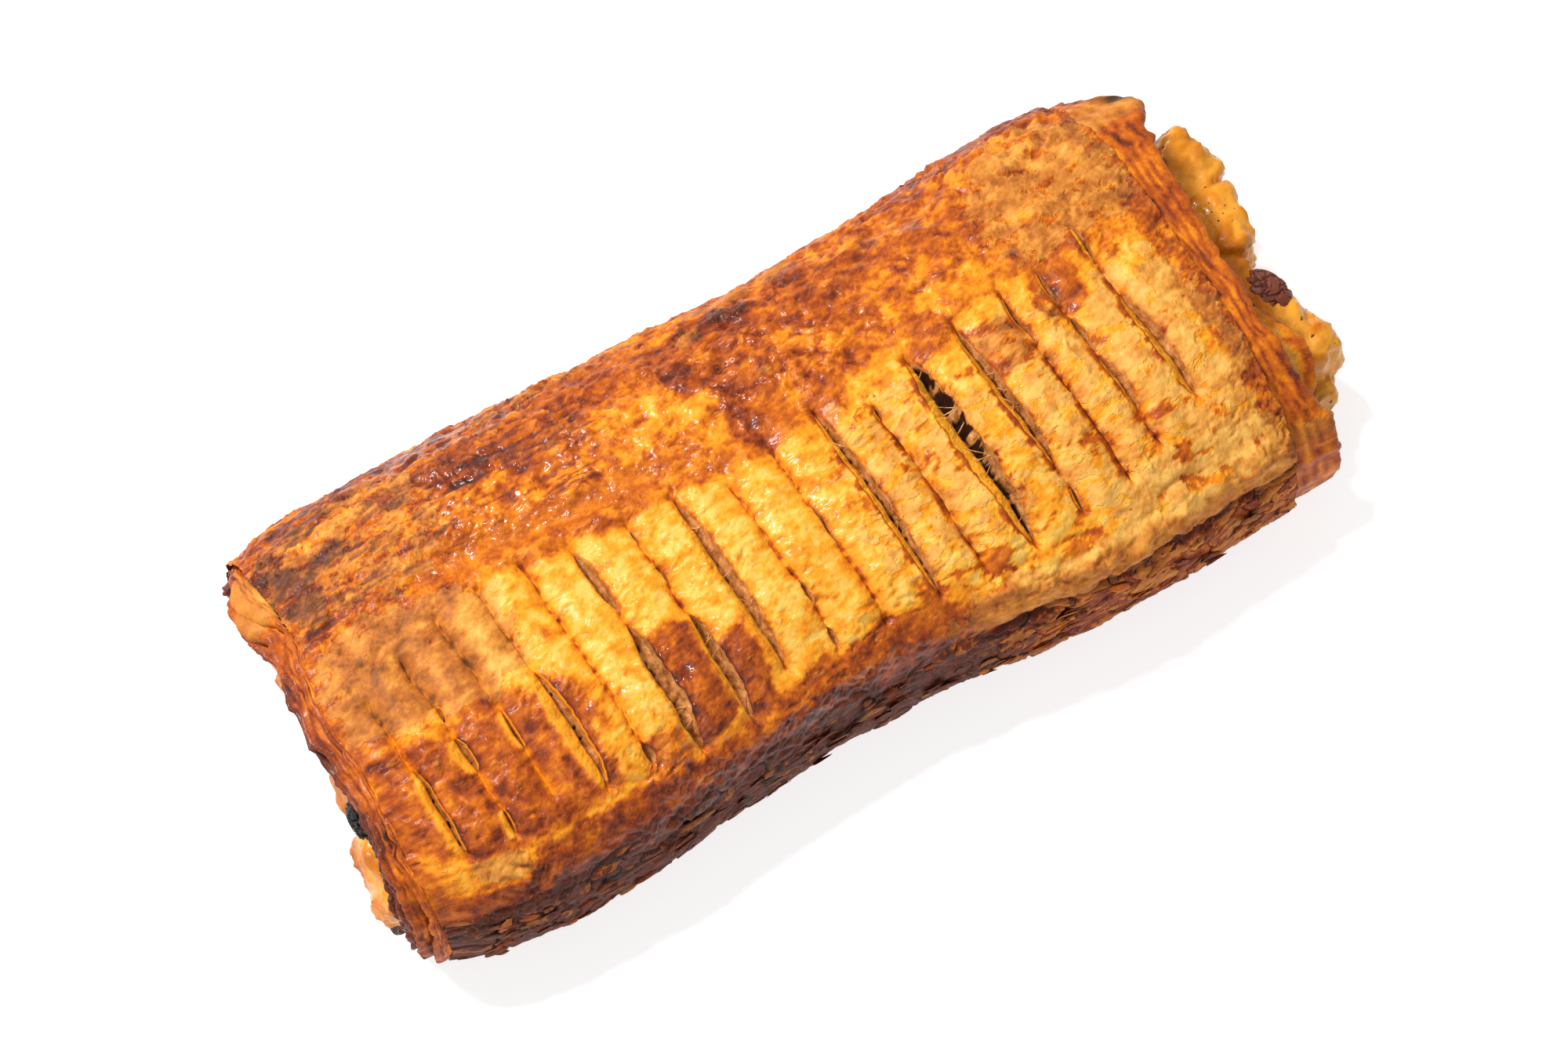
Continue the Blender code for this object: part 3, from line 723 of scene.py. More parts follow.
# %% Gather the skin's fields
def skin_colours(x, arc, y, zone):
    """The fields that the crust material reads, from the same zones as the relief."""
    zone.walls = np.maximum(zone.front_wall, 0.9 * zone.rear_wall)
    brown, tan = colour_top(x, arc, y, zone)
    colour_slats(brown, tan, x, arc, y, zone)
    colour_walls(brown, tan, x, arc, zone)
    lip, crumb, hollow = slit_fields(x, zone)
    glaze = paint(np.full_like(x, 0.22), GLAZE_PATCHES, x, arc, 211, 0.25, 0.4)
    glaze = np.maximum(glaze, zone.step_pool)
    glaze = glaze * (1 - 0.85 * ramp(tan, 0.42, 0.52)) * (1 - 0.7 * zone.walls)
    glaze = glaze * (1 - crumb) * (1 - lip)
    brown += (POOL_BROWN - brown) * 0.8 * zone.step_pool
    purple = paint(np.zeros_like(x), PURPLE_PATCHES, x, arc, 221, 0.35, 0.4)
    purple *= ramp(layers(plane(x, arc, 4.5, 1.3), 225, 4, 0.6), -0.25, 0.2)
    purple += 0.75 * zone.front_wall * ramp(x, 25, 5) * ramp(tan, 0.5, 0.4)
    purple += 0.35 * zone.walls * ramp(arc, -52, -58)
    purple += 0.7 * (zone.rear * zone.top) * ramp(zone.streaks, 0.22, 0.36) * ramp(x, -20, -32)
    char = ramp(noise_at(plane(x, arc, 5, 2.0), 231) + 0.5 * zone.fine, 0.5, 0.75) * zone.walls
    char += 0.9 * hump(x, 11.0, 0.8) * hump(arc, arc_at(34.0), 0.6)
    return {
        "brown": np.clip(brown, 0, 1), "tan": tan, "glaze": np.clip(glaze, 0, 1),
        "lip": lip, "crumb": crumb, "hollow": hollow,
        "purple": np.clip(purple, 0, 1), "char": np.clip(char, 0, 1),
    }


# %% [markdown]
# ## Sheets of points
# Skin, leaves and underside are all sheets: grids of points with values at each point. One
# helper makes an object from one or more sheets. It starts each from a flat grid, whose own
# points say which row and line they are, moves every point to its place, and keeps the flat
# grid as the map that the colours are baked on.

# %% Helpers for every mesh
# The numbers on every point that the crust's material reads. One of them paints the slits' holes and valleys
# near black, as painted shade.
FIELDS = ("brown", "tan", "glaze", "lip", "crumb", "hollow", "purple", "char")


def in_metres(places):
    """Points in the script's millimetres as metres in the part's frame."""
    return ((places - np.array((*BOX_MIDDLE, 0.0))) * MM).astype(np.float32)


def as_mesh(bm, name):
    mesh = bpy.data.meshes.new(name)
    bm.to_mesh(mesh)
    bm.free()
    return mesh


def set_points(mesh, places, fields):
    """Moves the mesh's points to places (mm), and stores the fields' numbers on them."""
    mesh.vertices.foreach_set("co", in_metres(places).ravel())
    for key, values in fields.items():
        layer = mesh.attributes.new(key, "FLOAT", "POINT")
        layer.data.foreach_set("value", values.astype(np.float32))


def change(mesh, operator, **settings):
    """Runs one bmesh operator on a finished mesh. verts or faces set to True means all."""
    bm = bmesh.new()
    bm.from_mesh(mesh)
    parts = {key: getattr(bm, key) for key in ("verts", "faces") if settings.pop(key, False)}
    operator(bm, **parts, **settings)
    bm.to_mesh(mesh)
    bm.free()


def put_in_scene(name, data):
    made = bpy.data.objects.new(name, data)
    bpy.context.scene.collection.objects.link(made)
    if isinstance(data, bpy.types.Mesh):
        print(f"{name}: {sum(len(p.vertices) - 2 for p in data.polygons)} triangles")
    return made


# %% Make objects from sheets
def flat_grids(name, sizes):
    """A mesh of flat unit grids 2 m apart, and for each of its points its grid and its place
    on it."""
    bm = bmesh.new()
    for k, (lines, rows) in enumerate(sizes):
        shift = Matrix.Translation((2 * k, 0, 0))
        bmesh.ops.create_grid(bm, x_segments=lines - 1, y_segments=rows - 1, size=0.5, matrix=shift)
    mesh = as_mesh(bm, name)
    flat = np.empty(len(mesh.vertices) * 3, np.float32)
    mesh.vertices.foreach_get("co", flat)
    flat = flat.reshape(-1, 3)
    which = np.rint(flat[:, 0] / 2).astype(int)
    return mesh, which, flat[:, :2] - np.stack((2 * which, 0 * which), axis=-1) + 0.5


def sheet_object(name, sheets, normals=None):
    """An object from sheets of (points in mm, fields). A field left out is 0."""
    mesh, which, share = flat_grids(name, [places.shape[:2] for places, _ in sheets])
    moved, own_normals = np.empty((len(which), 3)), np.zeros((len(which), 3))
    values = {key: np.zeros(len(which), np.float32) for key in FIELDS}
    for k, (places, fields) in enumerate(sheets):
        mine = which == k
        i = np.rint(share[mine, 0] * (places.shape[0] - 1)).astype(int)
        j = np.rint(share[mine, 1] * (places.shape[1] - 1)).astype(int)
        moved[mine] = places[i, j]
        for key, field in fields.items():
            values[key][mine] = np.broadcast_to(field, places.shape[:2])[i, j]
        if normals is not None:
            own_normals[mine] = normals[i, j]
    set_points(mesh, moved, values)
    loops = np.empty(len(mesh.loops), np.int32)
    mesh.loops.foreach_get("vertex_index", loops)
    map_places = (0.01 + 0.98 * share) / np.array((1, len(sheets)))
    map_places[:, 1] += which / len(sheets)
    layer = mesh.uv_layers.new(name="OFBake")
    layer.uv.foreach_set("vector", map_places[loops].astype(np.float32).ravel())
    mesh.shade_smooth()
    if normals is not None:
        mesh.normals_split_custom_set_from_vertices(own_normals)
    elif any(np.allclose(places[:, 0], places[:, -1]) for places, _ in sheets):
        change(mesh, bmesh.ops.remove_doubles, verts=True, dist=1e-7)
    return put_in_scene(name, mesh)


def grid_normals(places):
    """The outward direction at each point of a sheet."""
    ahead, beside = np.gradient(places, axis=0), np.gradient(places, axis=1)
    normals = np.cross(ahead, beside)
    return normals / np.maximum(np.linalg.norm(normals, axis=-1, keepdims=True), 1e-12)


# %% [markdown]
# The skin is cut into three pieces along the front shoulder and behind the slats, because a
# piece this fine would hold too many faces. All three take their shading from the whole
# sheet, so the joins don't show.

# %% Make the skin
left_edge = [columns[0] - dx for dx, _ in EDGE_TURN][::-1]
right_edge = [columns[-1] + dx for dx, _ in EDGE_TURN]
x = np.array(left_edge + list(columns) + right_edge)
turned = [np.full_like(arcs, -d) for _, d in EDGE_TURN]
sunk = np.array(turned[::-1] + [np.zeros_like(arcs)] * len(columns) + turned)
arc = np.broadcast_to(arcs, x.shape)
y = across_top(x, arc)
zone = skin_zones(x, arc, y)
height = skin_height(x, arc, y, zone)
fade = ramp(arc, FRONT_ARC, FRONT_ARC + EDGE_FADE) * ramp(arc, REAR_ARC, REAR_ARC - EDGE_FADE)
skin_places = on_skin(x, arc, height * fade - sunk)
skin_fields = skin_colours(x, arc, y, zone)
skin_normals = grid_normals(skin_places)
print("the skin's relief runs from", round(float(height.min()), 1), "to", round(float(height.max()), 1), "mm")
skins = []
seams = (0, FRONT_ROWS, FRONT_ROWS + TOP_ROWS, len(arcs) - 1)
for name, start, end in zip(("skin_front", "skin_top", "skin_back"), seams, seams[1:]):
    rows = slice(start, end + 1)
    part = {key: field[:, rows] for key, field in skin_fields.items()}
    skins.append(sheet_object(name, [(skin_places[:, rows], part)], skin_normals[:, rows]))

# %% [markdown]
# ## The underside
# The roll rests on a flat, evenly browned base. One more sheet closes the skin from its lower
# front edge, under the roll, to its lower rear edge.

# %% Make the underside
UNDER_LINES, UNDER_ROWS, OVERLAP = 240, 90, 0.6
UNDER_END = FRONT_ARC + ARC_ALL
under_arcs = np.linspace(REAR_ARC - OVERLAP, UNDER_END + OVERLAP, UNDER_ROWS)
left, right = (sheet_stop(side, under_arcs) for side in (0, 1))
under_x = left + (right - left) * np.linspace(0, 1, UNDER_LINES)[:, None]
under_arc = np.broadcast_to(under_arcs, under_x.shape)
rough = layers(plane(under_x, under_arc, 5, 3), 301, 4, 0.6)
fade = ramp(under_arc, REAR_ARC, REAR_ARC + EDGE_FADE) * ramp(under_arc, UNDER_END, UNDER_END - EDGE_FADE)
under_places = on_skin(under_x, under_arc, (0.25 * rough - 0.25) * fade - 0.06)
under_places[..., 2] = np.maximum(under_places[..., 2], 0.0)
underside = sheet_object("underside", [(under_places, {
    "brown": np.clip(0.72 + 0.12 * rough, 0, 1), "tan": 0.3 + 0.4 * rough,
    "char": ramp(rough, 0.45, 0.8) * 0.6,
})])

# %% [markdown]
# ## The leaves at the ends
# The roll is cut open at both ends, where the folded dough shows as a stack of thin leaves
# with brown rims. The outermost swell into golden rolls at the rear corners. Each leaf is a
# sheet that goes out to its rim, turns over and comes back inside, wrapped round the filling.
# How far it reaches at each angle round the end comes from a short table and noise.

# %% Make the leaves
# Charred spots on the outermost rims: end, angle round the end, spread.
CHARRED = ((1, 42, 4), (1, 24, 3), (0, 118, 4), (0, 30, 2))
# How far the leaves reach past the skin at angles round the end: 0 is behind, 90 on top.
LEAF_REACH = (
    ((0, 3.5), (30, 2.6), (40, 4.6), (50, 6.2), (58, 7.0), (66, 5.8), (75, 4.4), (90, 3.5),
     (110, 3.4), (130, 3.9), (150, 4.4), (170, 4.8), (195, 4.4), (212, 3.2), (228, 1.0),
     (250, 0.4), (310, 0.4), (345, 1.8), (360, 3.5)),
    ((0, 6.0), (20, 4.0), (30, 6.6), (37, 9.0), (45, 11.4), (53, 10.4), (60, 7.9), (70, 6.4), (81, 5.9),
     (90, 4.8), (100, 4.6), (113, 4.9), (124, 5.4), (140, 6.4), (154, 8.0), (180, 9.0), (225, 9.0),
     (270, 8.0), (330, 7.0), (360, 6.0)),
)
# Each leaf: depth under the skin, thickness, share of the reach, brownness, then its bulges as
# place round the end, spread, extra reach and extra thickness.
LEAVES = (
    (
        (0.7, 0.8, 0.42, 0.40, ((53, 13, 2.4, 3.6),)),
        (2.2, 0.7, 0.88, 0.40, ((60, 9, 1.4, 2.2), (140, 20, 0.6, 0.5))),
        (3.4, 0.6, 0.74, 0.56, ((140, 22, 1.4, 0.4),)),
        (4.4, 0.6, 0.98, 0.50, ((64, 10, 0.5, 0.3),)),
        (5.3, 0.6, 0.78, 0.62, ((150, 25, 1.6, 0.3),)),
        (6.2, 0.6, 0.92, 0.58, ()),
        (7.1, 0.7, 0.70, 0.60, ((215, 30, 2.4, 0.8),)),
    ),
    (
        (0.8, 1.1, 1.00, 0.40, ((44, 12, 0.6, 2.2), (150, 16, 0.8, 1.2))),
        (2.6, 0.7, 0.82, 0.58, ((44, 10, 0.0, 1.0),)),
        (3.6, 0.6, 0.93, 0.55, ()),
        (4.5, 0.7, 0.80, 0.46, ((210, 16, 5.0, 0.8),)),
        (5.4, 0.7, 0.86, 0.18, ((126, 19, 6.2, 0.3),)),
        (6.3, 0.6, 0.74, 0.40, ((138, 12, 3.4, 0.2),)),
        (7.1, 0.7, 0.84, 0.52, ((215, 18, 5.6, 0.9),)),
    ),
)
RIM_STEPS, TURN_STEPS, WALL_STEPS = 7, 401, 241
RIM_LINES, LINE_BROWN = (0.22, 0.5, 0.76), (0.30, 0.26)
WALL_DEPTHS = np.linspace(0.4, 8.6, 14)


def end_round(side, steps):
    """Angles round an end, and the skin's outline there, for noise that follows it."""
    turn = np.linspace(0, 2 * math.pi, steps)
    return turn, roll_points(np.full_like(turn, SKIN_ENDS[side]), turn)[:, 1:]


def end_places(side, turn, reach, depth):
    """Points past the end of the skin, at an angle round the roll and a depth under it (mm)."""
    places = roll_points(np.full_like(turn, SKIN_ENDS[side]), turn, depth)
    lean = np.interp(places[..., 1], *zip(*SHEET_STOPS[side])) - SKIN_ENDS[side]
    places[..., 0] += lean + (reach if side else -reach)
    return places


def leaf_path():
    """Steps from under the skin out to the rim and back: share of the reach, which face of the
    leaf (1 outside, -1 inside), and how far past the rim's middle."""
    out = [(share, 1.0, 0.0) for share in (-3.0, 0.0, 0.12, 0.24, 0.36, 0.48, 0.6, 0.72, 0.83, 0.92)]
    rim = [(1.0, math.cos(a), math.sin(a)) for a in np.linspace(0.3, math.pi - 0.3, RIM_STEPS)]
    back = [(share, -1.0, 0.0) for share in (0.9, 0.7, 0.4, 0.0, -3.0)]
    return out + rim + back


def leaf_sheet(side, number):
    """One leaf: its points and its colours."""
    depth, thick, share, brown, bulges = LEAVES[side][number]
    turn, outline = end_round(side, TURN_STEPS)
    degrees = np.degrees(turn)
    reach = share * np.interp(degrees, *zip(*LEAF_REACH[side]))
    thickness = np.full_like(turn, thick)
    for place, spread, longer, thicker in bulges:
        reach = reach + longer * hump(degrees, place, spread)
        thickness = thickness + thicker * hump(degrees, place, spread)

    def spots(size, seed, count=3):
        level = np.full(TURN_STEPS, seed + 0.37)
        return layers(np.column_stack((outline / size, level)), 400 + 40 * side, count, 0.55)

    reach = reach + 0.8 * spots(7.0, number * 3.0) + 0.35 * spots(1.8, number * 7.0)
    middle = depth + thickness / 2 + 0.45 * spots(9.0, 50.0 + number // 2)
    middle = middle + 0.22 * spots(3.0, number * 5.0)
    burnt = sum(hump(degrees, at, wide) for end, at, wide in CHARRED if end == side) * (number == 0)
    places, browns, hollows, chars = [], [], [], []
    for along, face, past in leaf_path():
        along_mm = np.where(along < 0, along, along * (reach - thickness / 2)) + past * thickness / 2
        ripple = 0.16 * spots(2.2, 90.0 + number + 2.0 * along, 2)
        places.append(end_places(side, turn, along_mm, middle - face * thickness / 2 + ripple))
        rim_brown = 0.24 * ramp(along, 0.7, 1.0) * (1 if number else 0.6)
        line = sum(hump(along, at + 0.2 * spots(9.0, 30.0 + 9 * at), 0.07) for at in RIM_LINES)
        rim_brown = rim_brown + LINE_BROWN[side] * line * (face > 0)
        shade = brown + rim_brown + 0.08 * spots(2.0, 20.0 + 3.0 * along)
        browns.append(shade + 0.12 * spots(7.0, 60.0 + along) - 0.1 * ramp(thickness, 1.5, 3.0))
        chars.append(burnt * ramp(along, 0.70, 0.95) * (1 + 0.8 * spots(1.5, 70.0 + along)))
        # Painted shade: the inner face of each leaf, which comes back inside, is made browner and tinged
        # purple.
        hollows.append(np.full_like(turn, 0.3 * (face < 0)))
    order = 1 if side else -1
    places, browns, hollows, chars = (np.array(f[::order]) for f in (places, browns, hollows, chars))
    browns = browns + 0.22 * ramp(degrees, 190, 240) * ramp(degrees, 355, 320)
    swollen = ramp(thickness, 1.6, 2.6)[None, :]
    return places, {
        "brown": np.clip(browns + 0.3 * hollows, 0.02, 1),
        "tan": 0.30 + 0.30 * swollen + 0.25 * (browns < 0.3),
        "purple": np.clip(0.5 * hollows + 0.35 * (browns > 0.72), 0, 1),
        "glaze": 0.15 * (1 - swollen), "char": np.clip(1.2 * chars, 0, 1),
    }


def end_wall(side):
    """The dark crumb between the leaves, from the skin down to the filling."""
    turn, outline = end_round(side, WALL_STEPS)
    rows = []
    for depth in WALL_DEPTHS:
        level = np.full(WALL_STEPS, depth)
        pits = layers(np.column_stack((outline / 1.4, level)), 460 + side, 3, 0.6)
        rows.append(end_places(side, turn, 0.6 * pits - 1.0, depth))
    places = np.array(rows if side else rows[::-1])
    return places, {"brown": np.full(places.shape[:2], 0.62), "tan": np.full(places.shape[:2], 0.6)}


ends = [
    sheet_object(name, [leaf_sheet(side, n) for n in range(len(LEAVES[side]))] + [end_wall(side)])
    for side, name in enumerate(("leaves_left", "leaves_right"))
]
print(len(LEAVES[0]), "leaves on the left and", len(LEAVES[1]), "on the right")

# %% [markdown]
# ## Loose flakes and threads
# Small leaves have lifted off the walls, and threads of crumb still cross the widest slits.
# Each is a small ball pressed into shape: long, wide and thin, bent a little, with a ragged
# outline. They are laid out on the skin in one go.

# %% Make small pieces from pressed balls
def small_ball(segments, rings):
    """A ball's mesh and its points."""
    bm = bmesh.new()
    bmesh.ops.create_uvsphere(bm, u_segments=segments, v_segments=rings, radius=1.0)
    places = np.array([vert.co for vert in bm.verts])
    return as_mesh(bm, "ball"), places


def ball_object(name, ball, placed, fields):
    """Joins one ball for each row of placed points (mm), with one value per ball and field."""
    bm = bmesh.new()
    for _ in placed:
        bm.from_mesh(ball)
    bpy.data.meshes.remove(ball)
    mesh = as_mesh(bm, name)
    spread = {key: np.repeat(fields.get(key, np.zeros(len(placed))), len(placed[0])) for key in FIELDS}
    set_points(mesh, np.concatenate(placed), spread)
    change(mesh, bmesh.ops.recalc_face_normals, faces=True)
    mesh.shade_smooth()
    return put_in_scene(name, mesh)


# %% Loose flakes on the walls
# Each zone: how many, and the stretch along the roll and along the skin that they lie on (mm).
FLAKE_ZONES = (
    (120, (-82, 71), (-54, -42)),
    (80, (-82, 70), (44, 55)),
)
FLAKE_LONG, FLAKE_WIDE, FLAKE_THICK = (0.8, 2.4), (0.3, 0.8), 0.16
rng = np.random.default_rng(11)
flake_ball, flake_places = small_ball(9, 6)
ball_x, ball_y, ball_z = flake_places.T
flakes, flake_brown, flake_tan = [], [], []
for zone_count, along_roll, along_skin in FLAKE_ZONES:
    for _ in range(zone_count):
        centre_x, centre_arc = rng.uniform(*along_roll), rng.uniform(*along_skin)
        long, wide = rng.uniform(*FLAKE_LONG), rng.uniform(*FLAKE_WIDE)
        ragged = 1 + rng.uniform(-0.28, 0.28, len(ball_x))
        turn, lift, tilt = rng.normal(0, 0.25), rng.uniform(0.1, 0.5), rng.uniform(-0.25, 0.35)
        along, across = ball_x * long * ragged, ball_y * wide * ragged
        bend = rng.uniform(-0.2, 0.4)
        out = lift + FLAKE_THICK * ball_z + tilt * ball_y + bend * ball_x**2
        flakes.append(on_skin(
            centre_x + along * math.cos(turn) - across * math.sin(turn),
            centre_arc + along * math.sin(turn) + across * math.cos(turn), out,
        ))
        flake_brown.append(rng.uniform(0.58, 0.92) - 0.12 * (centre_x > 10))
        flake_tan.append(rng.uniform(0.2, 0.75))
flake_fields = {"brown": np.array(flake_brown), "tan": np.array(flake_tan)}
loose = ball_object("loose_flakes", flake_ball, flakes, flake_fields)
print(len(flakes), "flakes")

# %% Threads across the slits
# Each row: which slit, and how many threads cross it.
THREADS = ((12, 9), (10, 4), (13, 6), (7, 5), (6, 4), (5, 3))
thread_ball, thread_places = small_ball(6, 8)
ball_x, ball_y, ball_z = thread_places.T
threads = []
for number, thread_count in THREADS:
    high, low, _ = max(SLITS[number][3], key=lambda part: part[0] - part[1])
    for _ in range(thread_count):
        across = rng.uniform(low + 3, high - 3)
        middle, gape, *_ = slit_values(number, np.array(across))
        thick, slope, sag = rng.uniform(0.09, 0.2), rng.normal(0, 0.9), rng.uniform(0.5, 1.5)
        along = middle + gape * (0.18 + 0.85 * ball_z)
        out = -sag - 0.35 * (1 - ball_z**2) + thick * ball_x
        threads.append(on_skin(along, arc_at(across) + slope * ball_z + thick * ball_y, out))
# Each thread is darkened by a random amount through the field that paints shade into the slits' holes.
thread_fields = {"crumb": np.ones(len(threads)), "hollow": rng.uniform(0, 0.3, len(threads))}
crumb_threads = ball_object("crumb_threads", thread_ball, threads, thread_fields)
print(len(threads), "threads")

# %% [markdown]
# ## The filling
# Cooked apple is soft dice held together by a jelly of juice and sugar. Blocks with rounded
# edges are put where pieces stand out of the ends, with a core that runs through the roll.
# A voxel remesh melts them into one closed body, as the jelly does, and noise then gives the
# pulp its grain and the blocks their dents.

# %% Make the filling
# Each block: its middle and size (mm), and its turn about X, Y and Z (degrees).
APPLE_BLOCKS = (
    ((79.5, 17.4, 19.0), (19.0, 12.0, 11.0), (10, -8, 20)),
    ((84.6, 18.6, 19.5), (8.5, 8.0, 8.0), (25, 18, 40)),
    ((78.4, 6.6, 20.0), (18.0, 13.0, 11.0), (-8, -6, -12)),
    ((82.4, 4.4, 19.0), (9.0, 8.0, 9.0), (8, 10, 8)),
    ((75.0, -3.5, 19.0), (16.0, 12.0, 11.0), (12, 8, 8)),
    ((77.5, -12.5, 18.0), (17.0, 11.0, 11.0), (-6, 6, -12)),
    ((81.8, -18.4, 17.5), (15.0, 10.0, 9.0), (-14, 4, 12)),
    ((86.2, -17.6, 17.0), (6.5, 6.0, 8.0), (10, 22, -24)),
    ((82.6, -24.0, 12.5), (8.0, 6.0, 8.0), (0, 10, 10)),
    ((73.0, 24.5, 17.0), (18.0, 9.0, 9.0), (0, 10, -12)),
    ((80.5, 23.6, 16.5), (8.0, 6.0, 7.0), (20, 0, 30)),
    ((-83.4, -22.0, 16.5), (13.0, 15.0, 12.0), (10, 6, -8)),
    ((-81.0, -9.0, 16.0), (10.0, 14.0, 11.0), (-6, 10, 6)),
    ((-79.5, 10.0, 16.5), (10.0, 16.0, 10.0), (8, -6, 12)),
    ((-84.8, -26.5, 12.0), (8.0, 9.0, 8.0), (15, 0, 20)),
)
CORE_ENDS = (-84.0, 78.0)
CORE_DEPTH, CORE_ROUND, CORE_SIDES = 8.9, 3.0, 96
BLOCK_EDGE, PULP_VOXEL = 2.2, 0.66


def add_core(bm):
    """A closed body through the inside of the roll, from a ring of points drawn out along it."""
    turn = np.linspace(0, 2 * math.pi, CORE_SIDES + 1)[:-1]
    ring = bmesh.ops.create_circle(bm, segments=CORE_SIDES, radius=1.0)["verts"]
    edges = list({edge for vert in ring for edge in vert.link_edges})
    start, end = CORE_ENDS
    stations = [start, start + 1.2, start + 4]
    stations += list(np.linspace(start + 10, end - 10, 12)) + [end - 4, end - 1.2, end]
    first = edges
    for station in stations:
        if station > start:
            grown = bmesh.ops.extrude_edge_only(bm, edges=edges)["geom"]
            ring = [v for v in grown if isinstance(v, bmesh.types.BMVert)]
            edges = [e for e in grown if isinstance(e, bmesh.types.BMEdge)]
        shrink = CORE_ROUND * (1 - ramp(min(station - start, end - station), -2, 5))
        places = roll_points(np.full(CORE_SIDES, station), turn, CORE_DEPTH + shrink)
        for vert, place in zip(ring, places):
            vert.co = place
    bmesh.ops.holes_fill(bm, edges=first + edges, sides=0)


def add_block(bm, centre, size, degrees):
    """A piece of apple: a block with rounded edges, turned about X, Y and Z."""
    block = bmesh.new()
    bmesh.ops.create_cube(block, size=1.0)
    bmesh.ops.scale(block, vec=size, verts=block.verts)
    bmesh.ops.bevel(block, geom=block.edges, offset=BLOCK_EDGE, segments=3, profile=0.5,
                    affect="EDGES", material=-1, clamp_overlap=True)
    turned = Euler([math.radians(d) for d in degrees]).to_matrix().to_4x4()
    bmesh.ops.transform(block, matrix=Matrix.Translation(centre) @ turned, verts=block.verts)
    spare = as_mesh(block, "block")
    bm.from_mesh(spare)
    bpy.data.meshes.remove(spare)


def melt(rough):
    """One closed mesh from overlapping ones, a little softened."""
    remesh = rough.modifiers.new("melt", "REMESH")
    remesh.mode, remesh.voxel_size = "VOXEL", PULP_VOXEL
    smooth = rough.modifiers.new("soften", "SMOOTH")
    smooth.factor, smooth.iterations = 0.5, 3
    graph = bpy.context.evaluated_depsgraph_get()
    melted = bpy.data.meshes.new_from_object(rough.evaluated_get(graph))
    bpy.data.objects.remove(rough)
    return melted


bm = bmesh.new()
add_core(bm)
for block in APPLE_BLOCKS:
    add_block(bm, *block)
bmesh.ops.recalc_face_normals(bm, faces=bm.faces)
melted = melt(put_in_scene("apple_rough", as_mesh(bm, "apple_rough")))
melted.name = "apple_filling"

# %% Roughen the filling
places, outward = (np.empty(len(melted.vertices) * 3, np.float32) for _ in range(2))
melted.vertices.foreach_get("co", places)
melted.vertex_normals.foreach_get("vector", outward)
places, outward = places.reshape(-1, 3).astype(float), outward.reshape(-1, 3)
along = places[:, 0]
dents = layers(places / 4.6, 601, 2)
pulp = layers(places / 1.3, 611, 3, 0.6)
showing = ramp(np.abs(along + 6), 74, 77)
places = places + outward * (showing * (0.95 * dents + 0.34 * pulp))[:, None]
deep = np.where(places[:, 0] > 0, ramp(places[:, 0], 85, 77), 0.45)
set_points(melted, places, {
    "amber": 0.62 * deep + 0.35 * dents + 0.15 * pulp,
    "candied": ramp(layers(places / 3.0, 621, 3), 0.25, 0.55),
})
melted.shade_smooth()
filling = put_in_scene("apple_filling", melted)

# %% [markdown]
# ## The raisins
# A raisin is a skin too large for what is left inside it, so it folds into sharp ridges. Each
# is a fine ball, flattened and turned as the part has it, whose folds come from noise with a
# crease where it crosses zero.

# %% Make the raisins
# Each raisin: the node it stands for, its middle and size (mm), its turn, how deep it folds.
RAISINS = {
    "wrinkled_raisin_left": ("raisin_left", (-86.4, -14.2, 22.6), (3.6, 7.4, 5.2), (14, 0, 6), 0.11),
    "wrinkled_raisin_right": ("raisin_right", (83.0, -7.6, 21.4), (6.6, 9.2, 4.9), (10, 8, 28), 0.06),
}


def raisin(name, seed, centre, size, degrees, fold):
    bm = bmesh.new()
    bmesh.ops.create_icosphere(bm, subdivisions=6, radius=0.5)
    ball = np.array([vert.co for vert in bm.verts])
    folds = np.abs(layers(ball * (2.6, 4.4, 4.4) + 9.0 * seed, 701, 3, 0.55))
    shaped = ball * (1 - fold + 2.2 * fold * ramp(folds, 0.0, 0.42))[:, None] * np.array(size)
    shaped = shaped @ np.array(Euler(np.radians(degrees)).to_matrix()).T + np.array(centre)
    mesh = as_mesh(bm, name)
    set_points(mesh, shaped, {"fold": ramp(folds, 0.0, 0.4)})
    mesh.shade_smooth()
    return put_in_scene(name, mesh)


raisins = {name: raisin(name, seed, *row[1:]) for seed, (name, row) in enumerate(RAISINS.items())}

# %% [markdown]
# ## The crust's finish
# A crust is dry in one place and wet with glaze in the next, and its colour runs from butter
# to black. One material can show all of it when it reads the fields: a colour ramp turns
# brownness into colour, the tan leaf is a second ramp laid over the first where its field is
# high, and fine noise on object coordinates adds the grain that a grid can't hold.

